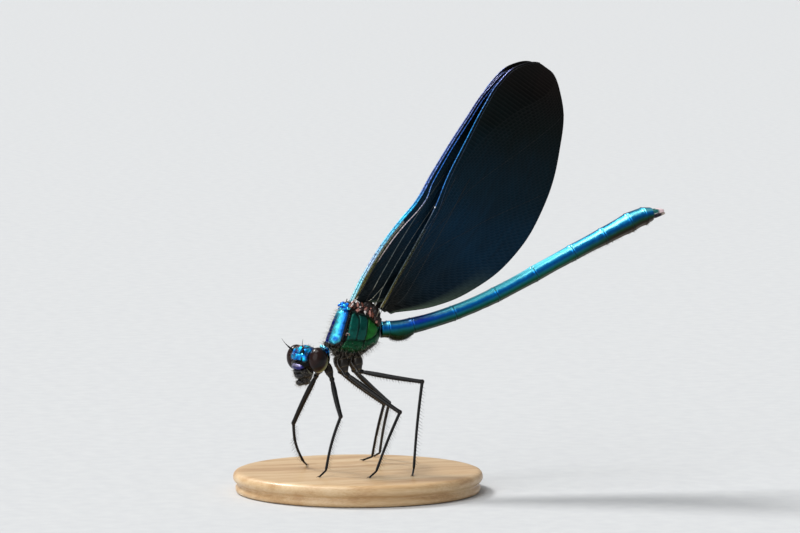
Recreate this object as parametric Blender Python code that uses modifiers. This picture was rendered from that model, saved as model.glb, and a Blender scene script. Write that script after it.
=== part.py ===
"""A life-size museum model of a male demoiselle damselfly standing on a thin round wooden base.

The frame has +Z up, the head towards -X, the insect's left side towards -Y, and its origin at the
middle of the base's underside. Lengths in the tables are millimetres, and MM turns them to metres.
"""

import math

import bmesh
import bpy
from mathutils import Matrix, Vector

MM = 0.001
COLLECTION = "damselfly"
CUTTERS = "damselfly_cutters"

# The stand is a disc with a small chamfer, and the feet stay a hair's breadth above it.
BASE_RADIUS = 14.0
BASE_THICKNESS = 2.4
BASE_CHAMFER = 0.35
BASE_SIDES = 64
FOOT_GAP = 0.05
FOOT_LEVEL = BASE_THICKNESS + FOOT_GAP

# The head is described in its own frame: forward, left and up from the middle between the eyes.
HEAD_CENTRE = Vector((-5.89, 0.0, 15.1))
HEAD_YAW = math.radians(20)
HEAD_SIZE = (1.42, 1.75, 1.3)
HEAD_FORWARD = 0.24
HEAD_UNDERSIDE = -0.95
EYE_SIZE = (1.14, 1.08, 1.42)
EYE_LATERAL = 2.02
EYE_CLEARANCE = 0.06
ANTENNA_ROOT = (1.42, 1.12, 1.1)
ANTENNA_TIPS = {"left": (1.95, 1.80, 2.45), "right": (2.50, 1.42, 2.30)}
ANTENNA_RADIUS = 0.25

# Mouthparts: forward start, forward end, half width at each height below the eyes' middle.
MOUTH_STATIONS = (
    (-1.05, -0.55, 1.75, 1.02),
    (-1.60, -0.45, 1.70, 1.08),
    (-2.20, -0.20, 1.55, 0.95),
    (-2.65, 0.10, 1.35, 0.70),
    (-2.92, 0.40, 1.05, 0.38),
)

PROTHORAX_CENTRE = Vector((-3.95, 0.0, 15.1))
PROTHORAX_SIZE = (0.66, 1.02, 1.05)

# Thorax stations from the underside to the wing roots: height, front, rear and half width.
THORAX_STATIONS = (
    (15.00, -2.30, -0.20, 0.70),
    (15.35, -2.75, 0.35, 1.12),
    (15.85, -3.00, 1.15, 1.42),
    (16.15, -3.22, 1.60, 1.54),
    (16.45, -3.78, 2.00, 1.62),
    (17.10, -3.72, 2.42, 1.70),
    (17.90, -3.42, 2.50, 1.72),
    (18.70, -3.10, 2.48, 1.68),
    (19.45, -2.78, 2.12, 1.56),
    (20.10, -2.47, 1.50, 1.36),
    (20.62, -2.18, 0.72, 1.10),
    (20.98, -1.88, -0.05, 0.78),
    (21.16, -1.50, -0.62, 0.42),
)
THORAX_SIDES = 20

# Abdomen rings in order: length, slope at the rear end in degrees, and diameter at the rear end.
ABDOMEN_START = Vector((2.55, 0.0, 18.08))
ABDOMEN_START_SLOPE = 0.0
ABDOMEN_START_DIAMETER = 1.95
ABDOMEN_RINGS = (
    (0.94, 2.0, 1.95),
    (2.85, 11.0, 1.88),
    (5.11, 18.0, 1.80),
    (5.40, 24.5, 1.84),
    (5.12, 27.0, 1.90),
    (5.12, 25.8, 1.96),
    (4.15, 25.0, 2.06),
    (3.45, 26.0, 2.36),
    (1.93, 16.0, 2.12),
    (1.10, 8.0, 1.50),
)
ABDOMEN_CUT = 0.1
ABDOMEN_WAIST = 0.96
BELLY_RING = 2
BELLY_DEPTH = 0.55
ABDOMEN_SIDES = 14
CLASPER_LENGTH = 1.25
CLASPER_RADIUS = 0.25
CLASPER_ROOT_Y = 0.42
CLASPER_TIP_Y = 0.33

# Wing plates lie in planes of constant Y, with the hind wings outermost.
WING_THICKNESS = 0.5
WING_PLANE = {"fore": 0.42, "hind": 1.24}
WING_ROOT = {"fore": (-0.55, 21.4), "hind": (2.35, 20.25)}
WING_LENGTH = {"fore": 32.3, "hind": 33.3}
WING_TILT = {"fore": math.radians(50.7), "hind": math.radians(55.2)}
WING_BREADTH = {"fore": 0.93, "hind": 1.0}

# Wing outlines for a hind wing's size: distance along the wing, distance towards the trailing edge.
WING_LEADING = {
    "fore": (
        (0.2, -0.25), (2.9, -0.84), (7.2, -1.34), (10.3, -1.37), (13.6, -1.25),
        (17.3, -1.80), (24.4, -2.55), (29.4, -2.75), (32.3, -2.00),
    ),
    "hind": (
        (0.2, -0.35), (4.8, -0.72), (8.9, -1.00), (12.9, -1.36), (16.6, -2.10),
        (20.9, -2.60), (25.7, -3.08), (28.6, -3.12), (31.6, -2.20),
    ),
}
WING_TRAILING = (
    (33.3, 0.30), (31.4, 4.10), (26.4, 7.30), (19.8, 9.40),
    (13.4, 9.50), (8.0, 7.70), (4.0, 5.00), (0.5, 1.10),
)
WING_CURVE_STEPS = 5

# Each leg by its joints: hip, trochanter, knee, heel and toe. Toes end at the level of the feet.
LEG_JOINTS = {
    "front_left": (
        (-3.85, -0.50, 14.02), (-3.40, -1.20, 12.80), (-3.08, -3.40, 8.90),
        (-5.00, -4.05, 3.35), (-6.05, -5.00, 2.60),
    ),
    "front_right": (
        (-3.95, 0.50, 14.02), (-4.50, 1.25, 13.00), (-6.51, 3.40, 7.50),
        (-5.15, 4.00, 3.35), (-4.45, 5.10, 2.60),
    ),
    "mid_left": (
        (-2.10, -0.62, 14.75), (-1.75, -1.15, 13.40), (3.31, -5.00, 9.32),
        (0.15, -6.30, 3.40), (-0.95, -7.25, 2.60),
    ),
    "mid_right": (
        (-2.10, 0.62, 14.75), (-1.75, 1.15, 13.40), (4.52, 4.50, 9.17),
        (3.50, 5.75, 3.40), (2.75, 7.00, 2.60),
    ),
    "hind_left": (
        (-0.45, -0.62, 14.80), (-0.15, -1.15, 13.60), (6.08, -4.50, 12.58),
        (4.65, -5.85, 3.40), (4.05, -7.20, 2.60),
    ),
    "hind_right": (
        (-0.45, 0.62, 14.80), (-0.15, 1.15, 13.50), (5.40, 5.40, 9.13),
        (5.30, 8.60, 3.40), (5.05, 10.00, 2.60),
    ),
}
LEG_RADII = {"coxa": (0.52, 0.40), "femur": (0.33, 0.27), "tibia": (0.26, 0.25), "tarsus": (0.25, 0.25)}
LEG_START_GAP = {"coxa": 0.0, "femur": 0.30, "tibia": 0.34, "tarsus": 0.32}
LEG_SIDES = 10

METAL_BLUE = (0.0, 0.115, 0.36)
METAL_TEAL = (0.0, 0.06, 0.075)
WING_BLUE = (0.002, 0.012, 0.022)
LEG_BLACK = (0.006, 0.006, 0.007)
EYE_BROWN = (0.02, 0.008, 0.006)
PALE_WOOD = (0.55, 0.38, 0.21)


def clear_scene():
    """Take away whatever the scene held before."""
    for old in list(bpy.data.objects):
        bpy.data.objects.remove(old, do_unlink=True)


def make_collection(name):
    """A new collection in the scene."""
    group = bpy.data.collections.new(name)
    bpy.context.scene.collection.children.link(group)
    return group


def make_material(name, colour, roughness, metallic):
    """A Principled BSDF in one colour."""
    material = bpy.data.materials.new(name)
    material.use_nodes = True
    shader = material.node_tree.nodes["Principled BSDF"]
    shader.inputs["Base Color"].default_value = (*colour, 1.0)
    shader.inputs["Roughness"].default_value = roughness
    shader.inputs["Metallic"].default_value = metallic
    return material


def add_object(name, data, group, material):
    """Put a mesh or curve in the scene under its own name."""
    item = bpy.data.objects.new(name, data)
    group.objects.link(item)
    data.materials.append(material)
    return item


def mesh_from(form, name):
    """Turn a bmesh in millimetres into a mesh in metres with its faces pointing outwards."""
    bmesh.ops.recalc_face_normals(form, faces=form.faces)
    bmesh.ops.scale(form, vec=(MM, MM, MM), verts=form.verts)
    mesh = bpy.data.meshes.new(name)
    form.to_mesh(mesh)
    form.free()
    mesh.shade_smooth()
    mesh.set_sharp_from_angle(angle=math.radians(40))
    return mesh


def loft(rings):
    """A closed form through rings of equal count, capped at both ends."""
    form = bmesh.new()
    rows = [[form.verts.new(point) for point in ring] for ring in rings]
    for lower, upper in zip(rows, rows[1:]):
        for index, corner in enumerate(lower):
            after = (index + 1) % len(lower)
            form.faces.new((corner, lower[after], upper[after], upper[index]))
    form.faces.new(reversed(rows[0]))
    form.faces.new(rows[-1])
    return form


def head_frame():
    """The matrix from the head's own frame to the model's."""
    forward = Vector((-math.cos(HEAD_YAW), -math.sin(HEAD_YAW), 0.0))
    up = Vector((0.0, 0.0, 1.0))
    left = up.cross(forward)
    turn = Matrix((forward, left, up)).transposed().to_4x4()
    return Matrix.Translation(HEAD_CENTRE) @ turn


def ellipsoid(size, centre, frame, segments=20, rings=12):
    """An ellipsoid with semi-axes size at centre in a frame."""
    form = bmesh.new()
    bmesh.ops.create_uvsphere(form, u_segments=segments, v_segments=rings, radius=1.0)
    bmesh.ops.scale(form, vec=size, verts=form.verts)
    bmesh.ops.translate(form, vec=centre, verts=form.verts)
    bmesh.ops.transform(form, matrix=frame, verts=form.verts)
    return form


def cut_flat(form, point, outward):
    """Cut a form at a plane, drop what lies beyond it and close the hole with a flat."""
    geometry = form.verts[:] + form.edges[:] + form.faces[:]
    cut = bmesh.ops.bisect_plane(form, geom=geometry, plane_co=point, plane_no=outward, clear_outer=True)
    rim = [item for item in cut["geom_cut"] if isinstance(item, bmesh.types.BMEdge)]
    bmesh.ops.holes_fill(form, edges=rim)


def make_tube(name, points, radii, group, material, resolution):
    """A poly curve with a radius at each point and filled caps."""
    curve = bpy.data.curves.new(name, "CURVE")
    curve.dimensions = "3D"
    curve.bevel_depth = MM
    curve.bevel_resolution = resolution
    curve.use_fill_caps = True
    spline = curve.splines.new("POLY")
    spline.points.add(len(points) - 1)
    for knot, point, radius in zip(spline.points, points, radii):
        knot.co = (*(Vector(point) * MM), 1.0)
        knot.radius = radius
    return add_object(name, curve, group, material)


def make_head(group, cutters, material):
    """The head capsule, hollowed at the sides to seat the eyes and cut flat above the mouth."""
    frame = head_frame()
    form = ellipsoid(HEAD_SIZE, (HEAD_FORWARD, 0.0, 0.0), frame)
    cut_flat(form, frame @ Vector((0.0, 0.0, HEAD_UNDERSIDE)), Vector((0.0, 0.0, -1.0)))
    head = add_object("head", mesh_from(form, "head"), group, material)
    for side, sign in (("left", 1), ("right", -1)):
        size = [length + EYE_CLEARANCE for length in EYE_SIZE]
        seat = ellipsoid(size, (0.0, sign * EYE_LATERAL, 0.0), frame)
        cutter = add_object(f"eye_seat_{side}", mesh_from(seat, f"eye_seat_{side}"), cutters, material)
        cutter.hide_render = True
        cutter.display_type = "WIRE"
        cut = head.modifiers.new(f"eye_seat_{side}", "BOOLEAN")
        cut.operation = "DIFFERENCE"
        cut.object = cutter
    return head


def make_eyes(group, material):
    """Two tall oval eyes at the sides of the head."""
    frame = head_frame()
    for side, sign in (("left", 1), ("right", -1)):
        name = f"eye_{side}"
        form = ellipsoid(EYE_SIZE, (0.0, sign * EYE_LATERAL, 0.0), frame)
        add_object(name, mesh_from(form, name), group, material)


def make_antennae(group, material):
    """Two short feelers from the brow."""
    frame = head_frame()
    for side, sign in (("left", 1), ("right", -1)):
        tip = Vector(ANTENNA_TIPS[side])
        tip.y *= sign
        root = Vector(ANTENNA_ROOT)
        root.y *= sign
        start = root + (tip - root).normalized() * ANTENNA_RADIUS
        points = [frame @ start, frame @ start.lerp(tip, 0.5), frame @ tip]
        make_tube(f"antenna_{side}", points, [ANTENNA_RADIUS] * 3, group, material, 2)


def rounded_ring(height, front, rear, half_width, sides):
    """A level oval ring that is a little squarer than an ellipse."""
    points = []
    for index in range(sides):
        turn = math.tau * (index + 0.5) / sides
        along = math.copysign(abs(math.cos(turn)) ** 0.85, math.cos(turn))
        across = math.copysign(abs(math.sin(turn)) ** 0.85, math.sin(turn))
        x = (front + rear) / 2 + along * (rear - front) / 2
        points.append(Vector((x, across * half_width, height)))
    return points


def make_mouthparts(group, material):
    """The clypeus, labrum and jaws as one tapering block under the head."""
    frame = head_frame()
    rings = [
        [frame @ point for point in rounded_ring(height, rear, front, half_width, 16)]
        for height, rear, front, half_width in MOUTH_STATIONS
    ]
    add_object("mouthparts", mesh_from(loft(rings), "mouthparts"), group, material)


def make_prothorax(group, material):
    """The small front ring of the thorax, which carries the front legs."""
    form = ellipsoid(PROTHORAX_SIZE, PROTHORAX_CENTRE, Matrix.Identity(4), 16, 10)
    add_object("prothorax", mesh_from(form, "prothorax"), group, material)


def make_thorax(group, material):
    """The slanted box of the main thorax."""
    rings = [
        rounded_ring(height, front, rear, half_width, THORAX_SIDES)
        for height, front, rear, half_width in THORAX_STATIONS
    ]
    add_object("thorax", mesh_from(loft(rings), "thorax"), group, material)


def abdomen_line(steps=6):
    """For each ring, its points along the abdomen, with their slopes and diameters."""
    place = ABDOMEN_START.copy()
    slope = ABDOMEN_START_SLOPE
    diameter = ABDOMEN_START_DIAMETER
    rings = []
    for length, end_slope, end_diameter in ABDOMEN_RINGS:
        line = []
        for step in range(steps + 1):
            share = step / steps
            angle = math.radians(slope + (end_slope - slope) * share)
            line.append((place.copy(), angle, diameter + (end_diameter - diameter) * share))
            if step < steps:
                place += Vector((math.cos(angle), 0.0, math.sin(angle))) * (length / steps)
        rings.append(line)
        slope = end_slope
        diameter = end_diameter
    return rings


def upright_ring(place, angle, radius, belly, sides):
    """A ring square to the abdomen's line, hanging lower by belly at its underside."""
    along = Vector((math.cos(angle), 0.0, math.sin(angle)))
    up = Vector((-along.z, 0.0, along.x))
    points = []
    for index in range(sides):
        turn = math.tau * index / sides
        height = math.cos(turn)
        drop = belly * max(0.0, -height) ** 2
        points.append(place + up * (radius * height - drop) + Vector((0.0, radius * math.sin(turn), 0.0)))
    return points


def make_abdomen(group, material):
    """Ten rings in a row, each a little slimmer in its middle, with a thin cut between them."""
    for number, line in enumerate(abdomen_line(), start=1):
        middle = (len(line) - 1) / 2
        belly_depth = BELLY_DEPTH if number == BELLY_RING else 0.0
        rings = []
        for index, (place, angle, diameter) in enumerate(line):
            towards_end = (index - middle) / middle
            waist = ABDOMEN_WAIST + (1 - ABDOMEN_WAIST) * towards_end ** 2
            belly = belly_depth * (1 - towards_end ** 2)
            inset = 0.0
            if abs(towards_end) == 1:
                inset = -towards_end * ABDOMEN_CUT / 2
            moved = place + Vector((math.cos(angle), 0.0, math.sin(angle))) * inset
            rings.append(upright_ring(moved, angle, diameter / 2 * waist, belly, ABDOMEN_SIDES))
        name = f"abdomen_{number}"
        add_object(name, mesh_from(loft(rings), name), group, material)


def make_claspers(group, material):
    """Two hooks behind the last ring."""
    place, angle, diameter = abdomen_line()[-1][-1]
    along = Vector((math.cos(angle), 0.0, math.sin(angle)))
    start = place + along * ABDOMEN_CUT
    for side, sign in (("left", -1), ("right", 1)):
        points = []
        for share in (0.0, 0.5, 1.0):
            point = start + along * CLASPER_LENGTH * share
            point.y = sign * (CLASPER_ROOT_Y + (CLASPER_TIP_Y - CLASPER_ROOT_Y) * share)
            points.append(point)
        make_tube(f"clasper_{side}", points, [CLASPER_RADIUS] * 3, group, material, 2)


def make_wing(pair, side, group, material):
    """A flat plate in the wing's outline, standing in a plane of constant Y."""
    name = f"wing_{pair}_{side}"
    curve = bpy.data.curves.new(name, "CURVE")
    curve.dimensions = "2D"
    curve.fill_mode = "BOTH"
    curve.extrude = WING_THICKNESS / 2 * MM
    curve.resolution_u = WING_CURVE_STEPS
    spline = curve.splines.new("BEZIER")
    spline.use_cyclic_u = True
    outline = WING_LEADING[pair] + WING_TRAILING
    spline.bezier_points.add(len(outline) - 1)
    length = WING_LENGTH[pair] / WING_LENGTH["hind"]
    for knot, (along, across) in zip(spline.bezier_points, outline):
        knot.co = (along * length * MM, -across * WING_BREADTH[pair] * MM, 0.0)
        knot.handle_left_type = "AUTO"
        knot.handle_right_type = "AUTO"
    for knot in (spline.bezier_points[0], spline.bezier_points[-1]):
        knot.handle_left_type = "VECTOR"
        knot.handle_right_type = "VECTOR"
    wing = add_object(name, curve, group, material)
    x, z = WING_ROOT[pair]
    y = WING_PLANE[pair] * (-1 if side == "left" else 1)
    stand_up = Matrix.Rotation(math.radians(90), 4, "X")
    tilt = Matrix.Rotation(-WING_TILT[pair], 4, "Y")
    wing.matrix_world = Matrix.Translation(Vector((x, y, z)) * MM) @ tilt @ stand_up
    return wing


def make_limb(name, start, end, piece, group, material):
    """One length of a leg between two joints, its foot end cut to the level of the feet."""
    line = end - start
    start = start + line.normalized() * LEG_START_GAP[piece]
    line = end - start
    first, last = LEG_RADII[piece]
    form = bmesh.new()
    bmesh.ops.create_cone(
        form, cap_ends=True, segments=LEG_SIDES, radius1=first, radius2=last, depth=line.length
    )
    turn = line.to_track_quat("Z", "Y").to_matrix().to_4x4()
    place = Matrix.Translation(start + line / 2) @ turn
    bmesh.ops.transform(form, matrix=place, verts=form.verts)
    if piece == "tarsus":
        cut_flat(form, Vector((0.0, 0.0, FOOT_LEVEL)), Vector((0.0, 0.0, -1.0)))
    add_object(name, mesh_from(form, name), group, material)


def make_legs(group, material):
    """Six legs of four lengths each."""
    for leg, joints in LEG_JOINTS.items():
        places = [Vector(joint) for joint in joints]
        for piece, start, end in zip(LEG_RADII, places, places[1:]):
            make_limb(f"leg_{leg}_{piece}", start, end, piece, group, material)


def make_base(group, material):
    """The round wooden base, with its underside at the origin."""
    form = bmesh.new()
    bmesh.ops.create_cone(
        form, cap_ends=True, segments=BASE_SIDES,
        radius1=BASE_RADIUS, radius2=BASE_RADIUS, depth=BASE_THICKNESS,
    )
    bmesh.ops.translate(form, vec=(0.0, 0.0, BASE_THICKNESS / 2), verts=form.verts)
    base = add_object("stand_base", mesh_from(form, "stand_base"), group, material)
    chamfer = base.modifiers.new("chamfer", "BEVEL")
    chamfer.width = BASE_CHAMFER * MM
    chamfer.segments = 1
    chamfer.limit_method = "ANGLE"
    return base


def build():
    """The whole model."""
    clear_scene()
    group = make_collection(COLLECTION)
    cutters = make_collection(CUTTERS)
    blue = make_material("metallic_blue_cuticle", METAL_BLUE, 0.3, 0.8)
    teal = make_material("metallic_teal_cuticle", METAL_TEAL, 0.35, 0.7)
    membrane = make_material("dark_wing_membrane", WING_BLUE, 0.35, 0.3)
    black = make_material("black_leg_cuticle", LEG_BLACK, 0.35, 0.0)
    eye = make_material("eye_cornea", EYE_BROWN, 0.15, 0.0)
    wood = make_material("pale_wood", PALE_WOOD, 0.5, 0.0)
    make_head(group, cutters, blue)
    make_mouthparts(group, black)
    make_eyes(group, eye)
    make_antennae(group, black)
    make_prothorax(group, teal)
    make_thorax(group, teal)
    make_abdomen(group, blue)
    make_claspers(group, black)
    for pair in WING_PLANE:
        for side in ("left", "right"):
            make_wing(pair, side, group, membrane)
    make_legs(group, black)
    make_base(group, wood)


build()
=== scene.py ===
# %% [markdown]
# # A damselfly for a museum case
# This lesson models the looks of a life-size male damselfly that stands on a thin maple disc.
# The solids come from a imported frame, and each finished piece is laid over the solid that it
# stands for. All lengths here are millimetres until a mesh is finished, because an insect is easier
# to think about in millimetres than in metres.

# %% Load the frame
import math
import random

import bmesh
import bpy
import numpy as np
from mathutils import Matrix, Vector, noise


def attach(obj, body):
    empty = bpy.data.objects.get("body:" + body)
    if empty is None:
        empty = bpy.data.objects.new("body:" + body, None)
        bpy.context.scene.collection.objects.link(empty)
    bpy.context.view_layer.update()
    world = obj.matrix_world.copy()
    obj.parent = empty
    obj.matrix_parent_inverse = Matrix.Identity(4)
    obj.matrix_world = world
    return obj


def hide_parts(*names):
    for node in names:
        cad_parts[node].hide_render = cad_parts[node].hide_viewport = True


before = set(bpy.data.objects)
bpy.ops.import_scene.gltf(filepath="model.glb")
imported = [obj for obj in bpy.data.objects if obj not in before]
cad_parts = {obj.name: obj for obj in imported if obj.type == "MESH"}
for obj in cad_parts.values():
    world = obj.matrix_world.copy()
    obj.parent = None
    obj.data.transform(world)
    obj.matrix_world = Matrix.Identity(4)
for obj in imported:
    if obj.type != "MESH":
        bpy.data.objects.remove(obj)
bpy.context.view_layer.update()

MM = 0.001
print("nodes in the frame:", len(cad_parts))

# %% [markdown]
# ## The camera
# A life-size insect fills a photograph only through a long lens. One pixel is 0.112 mm on the insect,
# and the camera stands half a metre away, so the focal length follows from those two sizes and the
# sensor. The colours are shown without a film curve, because such a curve greys the bright metal.

# %% Camera
PIXEL = 0.112
PHOTO_WIDTH = 800
CAMERA_DISTANCE = 500.0
CAMERA_AZIMUTH = math.radians(-18)
CAMERA_ELEVATION = math.radians(5)
CAMERA_TARGET = Vector((5.15, 0.63, 25.04))
SENSOR_WIDTH = 36.0

scene = bpy.context.scene
back = Vector((
    math.sin(CAMERA_AZIMUTH) * math.cos(CAMERA_ELEVATION),
    -math.cos(CAMERA_AZIMUTH) * math.cos(CAMERA_ELEVATION),
    math.sin(CAMERA_ELEVATION),
))
lens = bpy.data.cameras.new("camera")
lens.sensor_width = SENSOR_WIDTH
lens.lens = SENSOR_WIDTH * CAMERA_DISTANCE / (PIXEL * PHOTO_WIDTH)
lens.clip_start = 0.01
camera = bpy.data.objects.new("camera", lens)
camera.location = (CAMERA_TARGET + back * CAMERA_DISTANCE) * MM
camera.rotation_euler = back.to_track_quat("Z", "Y").to_euler()
scene.collection.objects.link(camera)
scene.camera = camera
scene.view_settings.view_transform = "Standard"
print("focal length in mm:", round(lens.lens, 1))

# %% [markdown]
# ## A helper for materials
# Every material is a small tree of nodes. One function adds a node with its settings and joins its
# inputs to the nodes before it, so a tree reads from top to bottom. Patterns are measured on Object
# coordinates, which are multiplied so that one unit is one millimetre.

# %% Material helpers
def srgb(code):
    """A colour written as #rrggbb, as the linear values that shaders use."""
    values = [int(code[place:place + 2], 16) / 255 for place in (1, 3, 5)]
    linear = [v / 12.92 if v <= 0.04045 else ((v + 0.055) / 1.055) ** 2.4 for v in values]
    return (*linear, 1.0)


def join(tree, node, inputs):
    """Set inputs of a node: each to a value, to a socket, or to the main output of another node."""
    for socket, value in inputs.items():
        if isinstance(value, bpy.types.Node):
            # A Mix node has an output for each kind of value, and its colour is the third.
            value = value.outputs[2 if value.bl_idname == "ShaderNodeMix" else 0]
        if isinstance(value, bpy.types.NodeSocket):
            tree.links.new(value, node.inputs[socket])
        else:
            node.inputs[socket].default_value = value


def add(tree, kind, inputs=None, stops=(), **settings):
    """Add a node of a kind, with its settings, the stops of its ramp, and its inputs."""
    node = tree.nodes.new(f"ShaderNode{kind}")
    for name, value in settings.items():
        setattr(node, name, value)
    for index, (place, colour) in enumerate(stops):
        elements = node.color_ramp.elements
        if index == 0:
            element = elements[0]
        elif index == len(stops) - 1:
            element = elements[-1]
        else:
            element = elements.new(place)
        element.position = place
        element.color = srgb(colour)
    join(tree, node, inputs or {})
    return node


def start_material(name, **sockets):
    """A new Principled material. Returns it with its tree, its shader and positions in mm."""
    material = bpy.data.materials.new(name)
    material.use_nodes = True
    tree = material.node_tree
    shader = tree.nodes["Principled BSDF"]
    for socket, value in sockets.items():
        shader.inputs[socket.replace("_", " ")].default_value = value
    place = add(tree, "TexCoord")
    in_mm = add(tree, "VectorMath", {0: place.outputs["Object"], "Scale": 1 / MM}, operation="SCALE")
    return material, tree, shader, in_mm.outputs["Vector"]


print("a mid grey of #808080 is", round(srgb("#808080")[0], 3), "in linear light")

# %% [markdown]
# ## Floor and light
# The floor is matt white paper, wide enough to fill the view to its top edge. The lights are suns,
# because a sun lights a small model evenly and its angle sets how soft its shadows are. The key light
# stands behind the insect and draws the bright line along a metallic back. The fill light comes down
# along the closed wings, so it also reaches the back beneath them. The front light is the widest and
# opens the shadows. The surrounding light is low, because dark metal only looks dark when it has little
# to reflect.

# %% Floor and lights
FLOOR_RADIUS = 4000.0
FLOOR_DROP = 0.02
FLOOR_SIDES = 96

paper, tree, shader, in_mm = start_material("matt_white_studio_paper", Roughness=0.9)
# Pressed paper scatters light evenly, so it has no highlight, and its grain of 2 mm only just shows.
grain = add(tree, "TexNoise", {"Vector": in_mm, "Scale": 0.5, "Detail": 3.0})
tint = add(tree, "ValToRGB", {"Fac": grain}, stops=((0.3, "#bfc0c1"), (0.7, "#c5c6c6")))
join(tree, shader, {"Base Color": tint})

form = bmesh.new()
bmesh.ops.create_circle(form, cap_ends=True, segments=FLOOR_SIDES, radius=FLOOR_RADIUS * MM)
bmesh.ops.translate(form, vec=(0.0, 0.0, -FLOOR_DROP * MM), verts=form.verts)
floor_mesh = bpy.data.meshes.new("floor")
form.to_mesh(floor_mesh)
form.free()
floor_mesh.materials.append(paper)
floor = bpy.data.objects.new("floor", floor_mesh)
scene.collection.objects.link(floor)


def add_sun(name, towards, strength, spread):
    """A sun whose light comes from the direction towards it, spread over an angle in degrees."""
    light = bpy.data.lights.new(name, "SUN")
    light.energy = strength
    light.angle = math.radians(spread)
    item = bpy.data.objects.new(name, light)
    item.rotation_euler = Vector(towards).to_track_quat("Z", "Y").to_euler()
    scene.collection.objects.link(item)


add_sun("key_light", (-0.40, 0.50, 0.80), 2.4, 14)
add_sun("fill_light", (-0.30, -0.06, 1.00), 1.1, 30)
add_sun("front_light", (-0.72, -0.50, 0.42), 1.2, 56)
world = bpy.data.worlds.new("studio")
world.use_nodes = True
world.node_tree.nodes["Background"].inputs["Color"].default_value = srgb("#f0f4f8")
world.node_tree.nodes["Background"].inputs["Strength"].default_value = 0.38
scene.world = world

# %% [markdown]
# ## Helpers for skins
# Most parts of an insect are tubes and domes. A flat grid from `create_grid` is bent over each of them:
# a formula says where a corner goes from its place on the grid, and doubled corners are merged where
# the grid closes on itself. The same helper makes a leg, a vein and the whole abdomen. Lumps start as
# icospheres. A finished form is scaled to metres, and rides on the one body of the frame.

# %% Skin helpers
MERGE = 1e-4
UNPAINTED = (0.0, 0.0, 0.0, 1.0)
WORLD = Matrix.Identity(4)
ORIGIN = (0.0, 0.0, 0.0)
UNIT = (1.0, 1.0, 1.0)


def curve_through(knots):
    """A function that runs smoothly through knots of (x, value, value, ...) in rising x."""
    places = np.array([knot[0] for knot in knots], dtype=float)
    values = np.array([knot[1:] for knot in knots], dtype=float)
    slopes = np.gradient(values, places, axis=0)

    def read(x):
        x = min(max(x, places[0]), places[-1])
        index = min(int(np.searchsorted(places, x, side="right")) - 1, len(places) - 2)
        gap = places[index + 1] - places[index]
        t = (x - places[index]) / gap
        start, end = values[index], values[index + 1]
        leave, arrive = slopes[index] * gap, slopes[index + 1] * gap
        return (
            (2 * t**3 - 3 * t**2 + 1) * start + (t**3 - 2 * t**2 + t) * leave
            + (3 * t**2 - 2 * t**3) * end + (t**3 - t**2) * arrive
        )

    return read


def rise(value, low, high):
    """0 below low, 1 above high, and a smooth step between, for numbers and arrays."""
    share = np.clip((value - low) / (high - low), 0.0, 1.0)
    return share * share * (3 - 2 * share)


def paint(form, corners, colour):
    """Give corners one colour in the form's tint layer."""
    layer = form.verts.layers.float_color["tint"]
    for corner in corners:
        corner[layer] = colour


def add_grid(form, columns, rows, place, marks=()):
    """Bend a grid into form. place(u, v) gives each corner's position, then a value for each mark."""
    made = bmesh.ops.create_grid(form, x_segments=columns, y_segments=rows, size=0.5)["verts"]
    paint(form, made, UNPAINTED)
    layers = [form.verts.layers.float[mark] for mark in marks]
    for corner in made:
        spot, *values = place(corner.co.x + 0.5, corner.co.y + 0.5)
        corner.co = spot
        for layer, value in zip(layers, values):
            corner[layer] = value
    bmesh.ops.remove_doubles(form, verts=made, dist=MERGE)


def frames_along(points):
    """At each point of a path: the point, two sides square to the path, and its direction."""
    side = None
    frames = []
    for index, point in enumerate(points):
        before = points[max(index - 1, 0)]
        after = points[min(index + 1, len(points) - 1)]
        along = (after - before).normalized()
        side = along.orthogonal() if side is None else side - along * side.dot(along)
        side.normalize()
        frames.append((point, side.copy(), along.cross(side), along))
    return frames


def add_tube(form, points, radii, sides, flutes=0, flute_depth=0.0):
    """Add a closed tube along a path, with a radius at each point and, if asked, fluted sides.

    Returns the form's last corners, as many as the tube has. In a form of several tubes some new
    corners take the places that merged ones left, so a few of them keep the plain dark tint.
    """
    rings = frames_along([Vector(point) for point in points])
    rings = [rings[0], *rings, rings[-1]]
    radii = [0.0, *radii, 0.0]

    def place(u, v):
        point, side, other, _ = rings[round(v * (len(rings) - 1))]
        turn = math.tau * u
        radius = radii[round(v * (len(rings) - 1))] * (1 + flute_depth * math.cos(flutes * turn))
        return (point + (side * math.cos(turn) + other * math.sin(turn)) * radius,)

    first = len(form.verts)
    add_grid(form, sides, len(rings) - 1, place)
    form.verts.ensure_lookup_table()
    return form.verts[first:]


def add_lump(form, frame_matrix, centre, size, level=3):
    """Add an egg shape to form and return its corners."""
    made = bmesh.ops.create_icosphere(form, subdivisions=level, radius=1.0)["verts"]
    paint(form, made, UNPAINTED)
    bmesh.ops.scale(form, vec=size, verts=made)
    bmesh.ops.translate(form, vec=centre, verts=made)
    bmesh.ops.transform(form, matrix=frame_matrix, verts=made)
    return made


def roughen(corners, centre, amount, pitch):
    """Push the corners of a lump out or in from its centre by an uneven amount."""
    for corner in corners:
        corner.co += (corner.co - Vector(centre)).normalized() * amount * noise.noise(corner.co * pitch)


def new_form(*marks):
    """An empty bmesh with a tint layer and a layer for each mark."""
    form = bmesh.new()
    form.verts.layers.float_color.new("tint")
    for mark in marks:
        form.verts.layers.float.new(mark)
    return form


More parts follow.
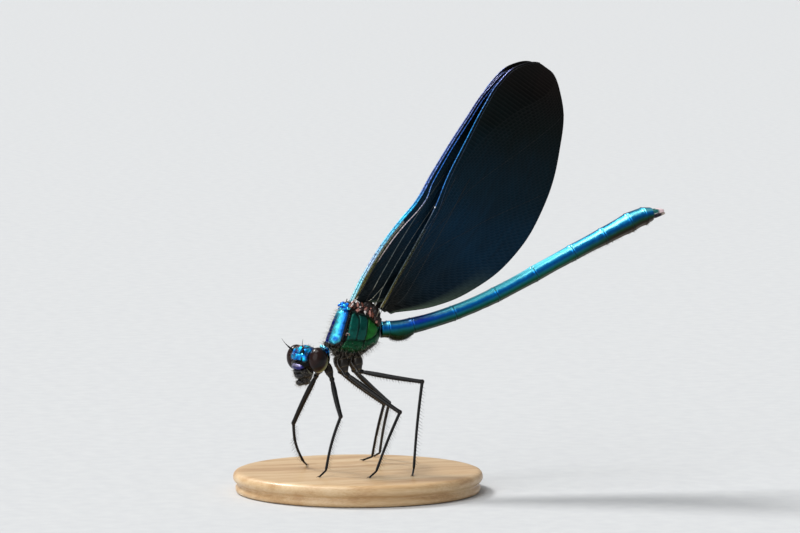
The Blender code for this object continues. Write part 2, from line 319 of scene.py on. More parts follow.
def finish(form, name, materials, slot, *nodes):
    """Turn a form in mm into a piece of the model that stands for some nodes of the frame."""
    bmesh.ops.recalc_face_normals(form, faces=form.faces)
    bmesh.ops.scale(form, vec=(MM, MM, MM), verts=form.verts)
    mesh = bpy.data.meshes.new(name)
    form.to_mesh(mesh)
    form.free()
    for material in materials:
        mesh.materials.append(material)
    mesh.shade_smooth()
    piece = bpy.data.objects.new(name, mesh)
    scene.collection.objects.link(piece)
    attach(piece, "root")
    if nodes:
        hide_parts(*nodes)
    print(f"{name}: {sum(len(face.vertices) - 2 for face in mesh.polygons)} triangles")
    return piece


print("helpers ready, corners merge within", MERGE, "mm")

# %% [markdown]
# ## Cuticle
# An insect's shell is cuticle, and the blue of this one is no pigment. Thin layers in the cuticle send
# back blue and green light as a metal does, so the shader is metallic, and a thin coat gives the wet
# gleam on top. The colour of thorax and head comes from a tint painted on the skin plate by plate. The
# real pits are a few hundredths of a millimetre wide, too fine to show, so they are drawn at 0.11 mm on
# the thorax and 0.20 mm on the head, where they break the gleam. Legs and mouthparts have plain black
# cuticle under a film of wax, which gives nearly no colour and a soft narrow highlight.

# %% Metallic cuticle
def make_metallic_cuticle(name, roughness, pit_size, pit_depth):
    """Layered cuticle with a metal's reflection, tinted by the skin's own tint layer."""
    material, tree, shader, in_mm = start_material(
        name, Metallic=1.0, Roughness=roughness, Coat_Weight=0.22, Coat_Roughness=0.10
    )
    tint = add(tree, "Attribute", attribute_name="tint")
    patches = add(tree, "TexNoise", {"Vector": in_mm, "Scale": 1.6, "Detail": 4.0, "Roughness": 0.6})
    shade = add(
        tree, "MapRange",
        {"Value": patches, "From Min": 0.28, "From Max": 0.72, "To Min": 0.45, "To Max": 1.25},
    )
    tinted = add(tree, "VectorMath", {0: tint, "Scale": shade}, operation="SCALE")
    join(tree, shader, {"Base Color": tinted})
    pits = add(tree, "TexVoronoi", {"Vector": in_mm, "Scale": 1 / pit_size, "Randomness": 1.0})
    wrinkles = add(tree, "TexNoise", {"Vector": in_mm, "Scale": 5.0, "Detail": 5.0})
    relief = add(tree, "Math", {0: pits, 1: wrinkles}, operation="ADD")
    bump = add(tree, "Bump", {"Height": relief, "Strength": 0.6, "Distance": pit_depth * MM})
    join(tree, shader, {"Normal": bump})
    return material


thorax_cuticle = make_metallic_cuticle("layered_cuticle_pitted", 0.34, 0.11, 0.03)
head_cuticle = make_metallic_cuticle("layered_cuticle_wrinkled", 0.32, 0.20, 0.03)
print("metallic cuticles:", thorax_cuticle.name, "and", head_cuticle.name)

# %% Black cuticle
black_cuticle, tree, shader, in_mm = start_material(
    "black_cuticle_waxed", Roughness=0.36, IOR=1.45, Specular_IOR_Level=0.18,
    Coat_Weight=0.26, Coat_Roughness=0.10,
)
tone = add(tree, "TexNoise", {"Vector": in_mm, "Scale": 1.2, "Detail": 3.0})
stain = add(
    tree, "ValToRGB", {"Fac": tone},
    stops=((0.35, "#050506"), (0.62, "#0a0807"), (0.8, "#17110b")),
)
own_tint = add(tree, "Attribute", attribute_name="tint")
summed = add(tree, "VectorMath", {0: stain, 1: own_tint}, operation="ADD")
join(tree, shader, {"Base Color": summed})
# Leg cuticle has scales of a few hundredths of a millimetre, drawn at 0.09 mm so that they show.
scales = add(tree, "TexVoronoi", {"Vector": in_mm, "Scale": 1 / 0.09})
bump = add(tree, "Bump", {"Height": scales, "Strength": 0.35, "Distance": 0.02 * MM})
join(tree, shader, {"Normal": bump})
print("black cuticle:", black_cuticle.name)

# %% [markdown]
# ## The head's own frame
# The head is turned 20 degrees to the insect's left. It is easier to model a face that looks straight
# ahead, so its pieces are made in coordinates of forward, left and up from the middle between the eyes,
# and one matrix carries them into place.

# %% Head frame
HEAD_CENTRE = Vector((-5.89, 0.0, 15.1))
HEAD_YAW = math.radians(20)
EYE_SIZE = Vector((1.14, 1.08, 1.42))
EYE_LATERAL = 2.02

forward = Vector((-math.cos(HEAD_YAW), -math.sin(HEAD_YAW), 0.0))
upward = Vector((0.0, 0.0, 1.0))
turned = Matrix((forward, upward.cross(forward), upward)).transposed().to_4x4()
HEAD = Matrix.Translation(HEAD_CENTRE) @ turned
print("the head faces", [round(value, 2) for value in forward])

# %% [markdown]
# ## Eyes
# A damselfly's eyes stand far apart, one on each side, and each is a tall dome of thousands of lenses.
# The dome is an icosphere. The lenses are about 0.03 mm wide, which is finer than a pixel, so their
# bump is drawn at 0.07 mm. The upper front is chestnut brown, the middle nearly black, and the lower
# rear fades to olive. The cornea is clear and smooth over that dark colour, so a thin sharp coat lies on
# a softer gloss, and the dome looks deep with one small highlight.

# %% Eye material
eye_cornea, tree, shader, in_mm = start_material(
    "faceted_cornea", Roughness=0.3, IOR=1.45, Specular_IOR_Level=0.15,
    Coat_Weight=0.22, Coat_Roughness=0.04,
)
dusk = add(tree, "Attribute", attribute_name="dusk")
mottle = add(tree, "TexNoise", {"Vector": in_mm, "Scale": 1.4, "Detail": 2.0})
softened = add(tree, "MapRange", {"Value": mottle, "To Min": -0.12, "To Max": 0.12})
shaded = add(tree, "Math", {0: dusk.outputs["Fac"], 1: softened}, operation="ADD")
brown = add(
    tree, "ValToRGB", {"Fac": shaded},
    stops=(
        (0.0, "#200c08"), (0.20, "#0a0404"), (0.38, "#080304"), (0.50, "#1e0a12"), (0.64, "#2c2a18"),
        (0.80, "#6a6a44"), (1.0, "#8e8e5e"),
    ),
)
join(tree, shader, {"Base Color": brown})
lenses = add(tree, "TexVoronoi", {"Vector": in_mm, "Scale": 1 / 0.07, "Randomness": 0.25})
bump = add(tree, "Bump", {"Height": lenses, "Strength": 0.25, "Distance": 0.015 * MM}, invert=True)
join(tree, shader, {"Normal": bump})
print("eye material:", eye_cornea.name)

# %% Eyes
# The way along which the eye turns from chestnut to olive, and how much flatter its rear half is.
DUSK_AXIS = Vector((-0.80, 0.0, -0.60))
REAR_FLATTENING = 0.96

for side, sign in (("left", 1), ("right", -1)):
    form = new_form("dusk")
    dome = add_lump(form, WORLD, ORIGIN, UNIT, level=5)
    for corner in dome:
        corner[form.verts.layers.float["dusk"]] = float(rise(corner.co.dot(DUSK_AXIS), -0.75, 1.0))
        # The rear of the eye is a little flatter than its front, where it meets the back of the head.
        corner.co.x *= 1.0 if corner.co.x > 0 else REAR_FLATTENING
    bmesh.ops.scale(form, vec=EYE_SIZE, verts=form.verts)
    bmesh.ops.translate(form, vec=(0.0, sign * EYE_LATERAL, 0.0), verts=form.verts)
    bmesh.ops.transform(form, matrix=HEAD, verts=form.verts)
    finish(form, f"eye_{side}_cornea", [eye_cornea], "eye_cornea", f"eye_{side}")

# %% [markdown]
# ## Head capsule
# Between the eyes lies the head capsule, a wide dome with a rugged blue-green brow, a mound that
# carries three simple eyes, and black cheeks below. An icosphere is squeezed to the capsule's size, and
# every corner is then moved in or out by a sum of soft bumps and grooves, as a sculptor would press
# clay. Each bump is a bell curve round a place on the face, so the list of features reads like a map.

# %% Head capsule
CAPSULE_SIZE = Vector((1.44, 1.72, 1.42))
CAPSULE_FORWARD = 0.2
CAPSULE_SQUARE = 0.88
# Each feature: place left and up on the face, half widths left and up, and height in mm.
FACE_FEATURES = (
    (0.00, 1.15, 0.34, 0.34, 0.16),
    (0.00, 0.35, 0.75, 0.34, 0.15),
    (0.92, 0.95, 0.24, 0.34, 0.10),
    (1.05, 0.30, 0.20, 0.30, 0.08),
    (0.58, 0.95, 0.09, 0.45, -0.20),
    (0.00, 0.72, 0.75, 0.07, -0.14),
    (0.34, 0.52, 0.10, 0.20, -0.07),
    (0.86, 0.10, 0.07, 0.36, -0.12),
    (0.00, -0.12, 1.10, 0.09, -0.22),
    (1.10, -0.62, 0.30, 0.32, 0.10),
)
BROW_BLUE = srgb("#0c8fe6")
BROW_CYAN = srgb("#1bd0e8")
BROW_DEEP = srgb("#063a9c")
CHEEK_BLACK_AND_SHADE = srgb("#070a0c")
CAPSULE_REAR = srgb("#0a2230")


def between(first, second, share):
    """A colour part of the way from first to second."""
    return tuple(a + (b - a) * float(share) for a, b in zip(first, second))


form = new_form()
capsule = add_lump(form, WORLD, ORIGIN, UNIT, level=7)
tint_layer = form.verts.layers.float_color["tint"]
form.normal_update()
for corner in capsule:
    way = corner.co.normalized()
    spot = Vector(
        math.copysign(abs(value) ** CAPSULE_SQUARE, value) * size for value, size in zip(way, CAPSULE_SIZE)
    )
    spot.x += CAPSULE_FORWARD
    push = 0.0
    front = float(rise(way.x + 0.5 * max(way.z, 0.0), 0.1, 0.6))
    for left, up, wide, tall, height in FACE_FEATURES:
        across = (abs(spot.y) - left) / wide
        along = (spot.z - up) / tall
        push += height * math.exp(-across * across - along * along) * front
    blue = front * float(rise(spot.z, -0.22, 0.0)) * float(1 - rise(abs(spot.y), 1.15, 1.5))
    crumple = noise.noise(spot * 2.1) * 0.13 + noise.noise(spot * 5.0) * 0.035
    push += crumple * (0.35 + 0.65 * blue)
    push -= 0.12 * float(rise(-spot.x, 0.55, 1.0))
    corner.co = spot + way * push
    # The brow's tone from deep blue to cyan varies at random, and cyan leans to the raised bumps as a
    # painted highlight.
    glow = noise.noise(spot * 1.9 + Vector((3.0, 7.0, 1.0))) * 0.5 + 0.5
    colour = between(BROW_DEEP, BROW_BLUE, rise(glow, 0.25, 0.5))
    colour = between(colour, BROW_CYAN, rise(glow + 0.4 * push, 0.5, 0.8))
    # Painted shade: corners pushed into the grooves are darkened toward black by how deep they lie.
    groove_shade = rise(-push, -0.01, 0.07)
    colour = between(colour, CHEEK_BLACK_AND_SHADE, 0.92 * groove_shade)
    rear = between(CHEEK_BLACK_AND_SHADE, CAPSULE_REAR, rise(spot.z, 0.1, 0.9))
    corner[tint_layer] = between(rear, colour, blue)
bmesh.ops.smooth_vert(form, verts=form.verts, factor=0.3, use_axis_x=True, use_axis_y=True, use_axis_z=True)
bmesh.ops.transform(form, matrix=HEAD, verts=form.verts)
finish(form, "head_capsule", [head_cuticle], "blue_cuticle", "head")

# %% [markdown]
# ## The three simple eyes
# On the mound between the large eyes sit three glassy beads, the ocelli. Each is an icosphere sunk to
# half its height in the mound. It is a smooth clear lens over amber pigment, so it sparkles as glass.

# %% Ocelli
OCELLI = ((1.28, 0.0, 1.02), (0.86, 0.40, 1.36), (0.86, -0.40, 1.36))
OCELLUS_RADIUS = 0.15

amber_glass, tree, shader, in_mm = start_material(
    "amber_lens", Roughness=0.06, IOR=1.5, Coat_Weight=0.6, Coat_Roughness=0.03
)
swirl = add(tree, "TexNoise", {"Vector": in_mm, "Scale": 6.0})
amber = add(tree, "ValToRGB", {"Fac": swirl}, stops=((0.35, "#3a1d10"), (0.7, "#a0653a")))
join(tree, shader, {"Base Color": amber})

form = new_form()
for centre in OCELLI:
    add_lump(form, HEAD, centre, [OCELLUS_RADIUS] * 3, level=3)
finish(form, "ocelli", [amber_glass], "eye_cornea")

# %% [markdown]
# ## Mouthparts
# Under the brow come, from top to bottom, a bulging glossy nose plate with a violet gleam, a narrow
# plate below it, the black upper lip, the jaws at the sides and the folded lower lip behind. Each is a
# lump of its own, so light breaks at every joint. Pale rims run along the cheeks under the eyes.

# %% Mouthparts
NOSE_VIOLET = srgb("#2a2a6c")
# A pale lilac, painted on the nose plate as a highlight.
NOSE_PAINTED_HIGHLIGHT = srgb("#d8d0f4")
LIP_BLACK = srgb("#0b0d12")
RIM_PALE = srgb("#5c5948")
JAW_BROWN = srgb("#1a1512")
# Each plate: centre and half sizes in the head's frame, its tint, and how square its outline is.
MOUTH_PLATES = (
    ((1.08, 0.00, -1.30), (0.52, 0.82, 0.22), LIP_BLACK, 0.85),
    ((0.92, 0.00, -1.82), (0.60, 0.84, 0.40), LIP_BLACK, 0.90),
    ((0.98, 0.00, -2.60), (0.46, 0.58, 0.36), LIP_BLACK, 1.00),
    ((0.55, 0.86, -1.45), (0.72, 0.30, 0.62), JAW_BROWN, 0.90),
    ((0.55, -0.86, -1.45), (0.72, 0.30, 0.62), JAW_BROWN, 0.90),
    ((0.45, 0.34, -2.32), (0.55, 0.36, 0.56), JAW_BROWN, 0.90),
    ((0.45, -0.34, -2.32), (0.55, 0.36, 0.56), JAW_BROWN, 0.90),
    ((0.12, 0.00, -1.75), (0.60, 0.78, 0.80), JAW_BROWN, 0.90),
)
NOSE_PLATE = ((1.22, 0.00, -0.78), (0.50, 1.04, 0.42), NOSE_VIOLET, 0.86)
# The painted highlight along the nose plate's upper edge: height above its middle, half width and strength.
NOSE_HIGHLIGHT_BAND = (0.17, 0.12, 0.85)
PLATE_LEVEL = 5


def add_plate(form, centre, size, colour, square):
    """A plate of the face: an egg in the head's frame, squared off and slightly uneven."""
    plate = add_lump(form, WORLD, ORIGIN, UNIT, level=PLATE_LEVEL)
    for corner in plate:
        way = corner.co.normalized()
        spot = Vector(math.copysign(abs(v) ** square, v) * s for v, s in zip(way, size))
        spot += way * 0.035 * noise.noise((spot + Vector(centre)) * 4.5)
        corner.co = HEAD @ (spot + Vector(centre))
    paint(form, plate, colour)
    return plate


form = new_form()
from_head = HEAD.inverted()
band_height, band_width, band_strength = NOSE_HIGHLIGHT_BAND
for corner in add_plate(form, *NOSE_PLATE):
    # A painted highlight: the upper edge of the nose plate is tinted pale, as if it caught the light.
    spot = from_head @ corner.co - Vector(NOSE_PLATE[0])
    gleam = math.exp(-(((spot.z - band_height) / band_width) ** 2)) * band_strength
    gleam *= float(1 - rise(abs(spot.y), 0.45, 0.95))
    paint(form, [corner], between(NOSE_VIOLET, NOSE_PAINTED_HIGHLIGHT, gleam))
finish(form, "nose_plate", [head_cuticle], "black_cuticle")
form = new_form()
for plate in MOUTH_PLATES:
    add_plate(form, *plate)
# The pale rims follow the lower edge of each eye.
for sign in (1, -1):
    for drop, reach in ((0.0, 1.0), (0.32, 0.72)):
        rim = []
        for step in range(13):
            turn = math.radians(-20 - 78 * reach * step / 12)
            rim.append(HEAD @ Vector((
                1.02 - 0.45 * step / 12 - 0.3 * drop,
                sign * (EYE_LATERAL - (1.02 + drop * 0.6) * math.cos(turn)),
                -0.35 + (1.18 + drop) * math.sin(turn) * 0.98,
            )))
        widths = [0.015 + 0.022 * math.sin(math.pi * step / 12) for step in range(13)]
        paint(form, add_tube(form, rim, widths, 8), RIM_PALE)
finish(form, "mouthparts_plates", [black_cuticle], "black_cuticle", "mouthparts")

# %% [markdown]
# ## Antennae
# The feelers are short bristles: a thick first joint, a smaller second one and a thin whip. The solid
# that stands for each is thicker than life, so the piece lies along its middle.

# %% Antennae
ANTENNA_ROOT = Vector((1.42, 1.12, 1.1))
ANTENNA_TIPS = {"left": Vector((1.95, 1.80, 2.45)), "right": Vector((2.50, 1.42, 2.30))}
# Shares of the length and radii of socket, first joint, second joint and whip.
ANTENNA_STATIONS = (
    (-0.20, 0.15), (0.00, 0.15), (0.04, 0.10), (0.08, 0.085), (0.24, 0.095), (0.28, 0.055), (0.31, 0.06),
    (0.46, 0.055), (0.48, 0.036), (0.66, 0.029), (0.82, 0.022), (1.00, 0.012),
)
ANTENNA_BOW = 0.12

for side, sign in (("left", 1), ("right", -1)):
    root, tip = ANTENNA_ROOT.copy(), ANTENNA_TIPS[side].copy()
    root.y *= sign
    tip.y *= sign
    points = []
    for share, _ in ANTENNA_STATIONS:
        point = root.lerp(tip, share)
        point.x += ANTENNA_BOW * math.sin(math.pi * max(share, 0.0))
        points.append(HEAD @ point)
    form = new_form()
    add_tube(form, points, [radius for _, radius in ANTENNA_STATIONS], 12)
    finish(form, f"antenna_{side}_feeler", [black_cuticle], "black_cuticle", f"antenna_{side}")

# %% [markdown]
# ## Neck and front ring of the thorax
# The front legs hang from a small ring of their own behind the head. It has a raised collar, two low
# bosses on its back and a flared rear lobe with a beaded edge. Lumps of different sizes overlap to make
# it, and a short dark neck joins it to the head.

# %% Pronotum
PRONOTUM_BLUE = srgb("#0d6fae")
PRONOTUM_HIGHLIGHT_CYAN = srgb("#7ee6ff")
PRONOTUM_BLACK = srgb("#05090b")
BEAD_PALE = srgb("#8fa3a6")
NECK_START = Vector((-5.0, 0.1, 15.1))
NECK_END = Vector((-4.1, 0.0, 15.2))
NECK_RADII = (0.50, 0.44, 0.48, 0.42, 0.46, 0.50, 0.60)
# Each lobe: centre, half sizes and tint.
PRONOTUM_LOBES = (
    ((-4.42, 0.00, 15.20), (0.26, 0.74, 0.80), PRONOTUM_BLUE),
    ((-3.95, 0.00, 15.05), (0.62, 0.98, 1.02), PRONOTUM_BLACK),
    ((-3.98, 0.36, 15.72), (0.34, 0.38, 0.36), PRONOTUM_BLUE),
    ((-3.98, -0.36, 15.72), (0.34, 0.38, 0.36), PRONOTUM_BLUE),
    ((-3.62, 0.00, 15.72), (0.20, 0.88, 0.60), PRONOTUM_BLUE),
    # The two small lobes in near white cyan are their metallic blue with a painted highlight.
    ((-4.08, 0.46, 16.30), (0.22, 0.30, 0.24), PRONOTUM_HIGHLIGHT_CYAN),
    ((-4.08, -0.46, 16.30), (0.22, 0.30, 0.24), PRONOTUM_HIGHLIGHT_CYAN),
    ((-3.80, 0.00, 16.22), (0.20, 0.82, 0.28), PRONOTUM_BLUE),
)
BEAD_COUNT = 15
BEAD_RADIUS = 0.075

form = new_form()
for centre, size, colour in PRONOTUM_LOBES:
    lobe = add_lump(form, WORLD, centre, size, level=5)
    roughen(lobe, centre, 0.05, 4.0)
    paint(form, lobe, colour)
for step in range(BEAD_COUNT):
    turn = math.radians(-80 + 160 * step / (BEAD_COUNT - 1))
    centre = (-3.56 + 0.05 * math.cos(turn), 0.88 * math.sin(turn), 15.74 + 0.57 * math.cos(turn))
    paint(form, add_lump(form, WORLD, centre, [BEAD_RADIUS] * 3, level=2), BEAD_PALE)
neck = [NECK_START.lerp(NECK_END, step / (len(NECK_RADII) - 1)) for step in range(len(NECK_RADII))]
paint(form, add_tube(form, neck, NECK_RADII, 20), PRONOTUM_BLACK)
finish(form, "pronotum_and_neck", [head_cuticle], "teal_cuticle", "prothorax")

# %% [markdown]
# ## Thorax
# The wing box is a slanted barrel of plates. From the side it shows a broad bright cyan shoulder plate,
# a black seam, two dark teal plates, a greener plate behind and a wrinkled green one below. The barrel
# is one skin, so no seam opens: oval rings from the underside to the wing roots are joined by a bent
# grid. The seams are lines in the side view, and every corner sinks by how near it is to one of them,
# which leaves each plate as a low pillow.

# %% Thorax form
THORAX_STATIONS = (
    (15.00, -2.30, -0.20, 0.70), (15.35, -2.75, 0.35, 1.12), (15.85, -3.00, 1.15, 1.42),
    (16.15, -3.22, 1.60, 1.54), (16.45, -3.78, 2.00, 1.62), (17.10, -3.72, 2.42, 1.70),
    (17.90, -3.42, 2.50, 1.72), (18.70, -3.10, 2.48, 1.68), (19.45, -2.78, 2.12, 1.56),
    (20.10, -2.47, 1.50, 1.36), (20.62, -2.18, 0.72, 1.10), (20.98, -1.88, -0.05, 0.78),
    (21.16, -1.50, -0.62, 0.42),
)
THORAX_COLUMNS = 230
THORAX_ROWS = 130
THORAX_SQUARE = 0.85
THORAX_SHRINK = 0.99
CAP_SHARE = 0.05
thorax_ring = curve_through(THORAX_STATIONS)
LOWEST = THORAX_STATIONS[0][0]
HIGHEST = THORAX_STATIONS[-1][0]


def thorax_place(u, v):
    """A point of the barrel: u goes round it from the rear, v rises from its underside to its top."""
    height = LOWEST + (HIGHEST - LOWEST) * v
    front, rear, half = thorax_ring(height)
    closing = min(v, 1 - v) / CAP_SHARE
    cap = math.sqrt(max(0.0, 1 - (1 - min(closing, 1.0)) ** 2))
    turn = math.tau * u
    along = math.copysign(abs(math.cos(turn)) ** THORAX_SQUARE, math.cos(turn))
    across = math.copysign(abs(math.sin(turn)) ** THORAX_SQUARE, math.sin(turn))
    reach = (rear - front) / 2 * THORAX_SHRINK * cap
    return (Vector(((front + rear) / 2 + along * reach, across * half * THORAX_SHRINK * cap, height)),)


form = new_form()
add_grid(form, THORAX_COLUMNS, THORAX_ROWS, thorax_place)
bmesh.ops.recalc_face_normals(form, faces=form.faces)
form.normal_update()
print("thorax corners:", len(form.verts))

# %% Thorax plates
# Seams in the side view, as points of x and height, with their depth and half width.
SHOULDER = ((-3.55, 16.95), (-3.20, 16.72), (-2.52, 17.00), (-1.94, 18.88), (-1.41, 20.43))
HUMERAL = ((-2.45, 16.30), (-1.72, 17.44), (-1.46, 18.87), (-1.24, 19.66), (-1.05, 20.10))
MIDDLE = ((-0.66, 17.20), (-0.38, 18.47), (-0.27, 19.56), (-0.42, 20.05))
REAR = ((0.12, 16.30), (0.56, 17.74), (0.82, 19.39), (0.78, 19.80))
SKIRT = ((-2.45, 16.95), (-1.70, 17.15), (-0.66, 17.15), (0.35, 16.95), (1.30, 17.30), (2.20, 18.00))
BELT = ((-2.60, 16.05), (-1.70, 15.85), (-0.60, 15.75), (0.40, 15.95), (1.40, 16.60))
COLLAR = ((-2.75, 20.30), (-2.20, 20.46), (-1.41, 20.43), (-0.90, 20.15))
COLLAR_TOP = ((-2.50, 20.62), (-2.00, 20.80), (-1.35, 20.72), (-0.80, 20.45))
WING_HINGE = ((-1.30, 20.45), (-0.42, 20.08), (0.30, 19.92), (0.85, 19.78), (1.45, 19.15), (2.00, 18.75))
SEAMS = (
    (SHOULDER, 0.13, 0.10), (HUMERAL, 0.10, 0.08), (MIDDLE, 0.16, 0.12), (REAR, 0.15, 0.11),
    (SKIRT, 0.11, 0.10), (BELT, 0.12, 0.12), (COLLAR, 0.10, 0.07), (COLLAR_TOP, 0.08, 0.06),
    (WING_HINGE, 0.16, 0.12),
)


def away_from(places, line):
    """How far each place of the side view is from a line of points."""
    nearest = np.full(len(places), 1e9)
    for start, end in zip(np.array(line[:-1]), np.array(line[1:])):
        step = end - start
        share = np.clip(((places - start) @ step) / (step @ step), 0.0, 1.0)
        nearest = np.minimum(nearest, np.linalg.norm(places - start - share[:, None] * step, axis=1))
    return nearest


def line_at(line, heights):
    """The x of a rising line at each height."""
    points = np.array(line)
    order = np.argsort(points[:, 1])
    return np.interp(heights, points[order, 1], points[order, 0])


corners = list(form.verts)
spots = np.array([corner.co for corner in corners])
side_view = spots[:, [0, 2]]
sink = np.zeros(len(corners))
for line, depth, width in SEAMS:
    sink += depth * np.exp(-((away_from(side_view, line) / width) ** 1.4))
seam_shade = np.clip(sink / 0.14, 0, 1) ** 2
# The keel down the middle of the front stands up as a fine ridge between two furrows.
is_front = 1 - rise(spots[:, 0], -2.9, -2.2)
from_keel = np.abs(spots[:, 1])
furrows = 0.07 * np.exp(-((from_keel - 0.34) / 0.13) ** 2)
ridge = 0.08 * np.exp(-((from_keel / 0.15) ** 2))
sink += is_front * (furrows - ridge)
wrinkled = 1 - rise(spots[:, 2], 16.6, 17.2)
print("deepest seam in mm:", round(float(sink.max()), 2))

# %% Thorax colours
SHOULDER_CYAN = srgb("#5aeaff")
SHOULDER_BLUE = srgb("#0b7df0")
KEEL_NAVY = srgb("#0a1c78")
SUTURE_BLACK_AND_SHADE = srgb("#040606")
PLATE_TEAL = srgb("#04584e")
PLATE_DEEP = srgb("#044c44")
PLATE_GREEN = srgb("#14601e")
SKIRT_GREEN = srgb("#0a4a2c")
BELLY_BROWN = srgb("#171310")
BACK_BROWN = srgb("#150d0a")

tints = np.tile(np.array(PLATE_TEAL), (len(corners), 1))


def lay(colour, cover):
    """Lay a colour over the thorax where cover is 1."""
    tints[:] = tints + (np.array(colour) - tints) * np.asarray(cover)[:, None]


x, height = spots[:, 0], spots[:, 2]
lay(PLATE_DEEP, rise(x, line_at(MIDDLE, height) - 0.05, line_at(MIDDLE, height) + 0.05))
lay(PLATE_GREEN, rise(x, line_at(REAR, height) - 0.05, line_at(REAR, height) + 0.05))
below_skirt = rise(np.interp(x, *np.array(SKIRT).T) - height, -0.05, 0.05)
lay(SKIRT_GREEN, below_skirt)
lay(BELLY_BROWN, rise(np.interp(x, *np.array(BELT).T) - height, -0.05, 0.15))
before_seam = rise(line_at(HUMERAL, height) - x, -0.04, 0.04)
lay(SUTURE_BLACK_AND_SHADE, before_seam * rise(height, 16.1, 16.3))
in_band = rise(line_at(SHOULDER[2:], height) - x, -0.03, 0.05)
in_band *= rise(height - np.interp(x, *np.array(SHOULDER[:3]).T), -0.03, 0.06)
lay(SHOULDER_BLUE, in_band)
# Painted highlights: a pale cyan streak down the middle of the shoulder plate, and a pale cyan ring round
# its knob.
streak = np.exp(-(((x - line_at(SHOULDER[2:], height) + 0.80) / 0.34) ** 2))
knob = np.hypot((x + 2.98) / 0.52, (height - 17.35) / 0.50)
knob_highlight_ring = 0.8 * np.exp(-(((knob - 0.8) / 0.34) ** 2))
lay(SHOULDER_CYAN, in_band * np.maximum(streak * rise(knob, 0.7, 1.0), knob_highlight_ring))
lay(KEEL_NAVY, in_band * is_front * (1 - rise(from_keel, 0.30, 0.75)))
on_back = rise(height - np.interp(x, *np.array(WING_HINGE).T), 0.0, 0.15) * rise(x, -1.5, -1.2)
lay(BACK_BROWN, on_back)
# The seams are darkened by their depth: partly their own dark sutures, partly painted shade in the grooves.
lay(SUTURE_BLACK_AND_SHADE, 0.85 * seam_shade)

tint_layer = form.verts.layers.float_color["tint"]
for corner, spot, depth, folds, colour in zip(corners, spots, sink, wrinkled, tints):
    place = Vector(spot)
    crumple = noise.noise(place * 3.5) * 0.07 + noise.noise(place * 8.0) * 0.03
    ripple = noise.noise(place * 1.6) * 0.03
    corner.co = place + corner.normal * (crumple * folds + ripple - depth)
    corner[tint_layer] = tuple(colour)
finish(form, "thorax_skin", [thorax_cuticle], "teal_cuticle", "thorax")

# %% [markdown]
# ## Collar plates
# Small metallic blue plates crown the front of the thorax just before the wings. They are lumps of
# their own with an uneven surface, so each one shows a glint.

# %% Collar plates
# Each plate on the left side: centre, half sizes and tint.
COLLAR_PLATES = (
    ((-2.02, 0.42, 20.92), (0.20, 0.30, 0.15), SHOULDER_BLUE),
    ((-1.76, 0.66, 20.98), (0.24, 0.22, 0.17), SHOULDER_CYAN),
    ((-1.46, 0.74, 21.10), (0.18, 0.20, 0.20), SHOULDER_BLUE),
    ((-1.42, 0.96, 20.62), (0.26, 0.20, 0.17), SHOULDER_CYAN),
    ((-1.80, 0.98, 20.50), (0.24, 0.20, 0.13), SHOULDER_BLUE),
    ((-1.70, 0.20, 21.12), (0.30, 0.26, 0.16), SHOULDER_BLUE),
)

form = new_form()
for sign in (-1, 1):
    for (x, y, z), size, colour in COLLAR_PLATES:
        centre = Vector((x, sign * y, z))
        plate = add_lump(form, WORLD, centre, size, level=4)
        roughen(plate, centre, 0.06, 5.0)
        paint(form, plate, colour)
finish(form, "thorax_collar_plates", [head_cuticle], "teal_cuticle")

# %% [markdown]
# ## Wing hinges
# Where the wings join the back lies a heap of small hard plates with soft pinkish skin between them.
# Each hinge plate is a lump along the upper edge of the thorax, ridged the way the wings lean, and
# narrow straps at seeded random places lie over the gaps. The veins of the wings run down to them, and
# dark folds of skin close the gap between the two pairs of wings. This cuticle is soft and has no
# mirror layers, so it shows skin colours under a broad dull highlight.

# %% Wing hinges
HINGE_PINK = srgb("#a8746a")
HINGE_RUST = srgb("#5e2e1c")
HINGE_BROWN = srgb("#2c1a14")
# Near white, a painted glint on some hinge plates and straps.
HINGE_GLINT_WHITE = srgb("#d6ccc8")
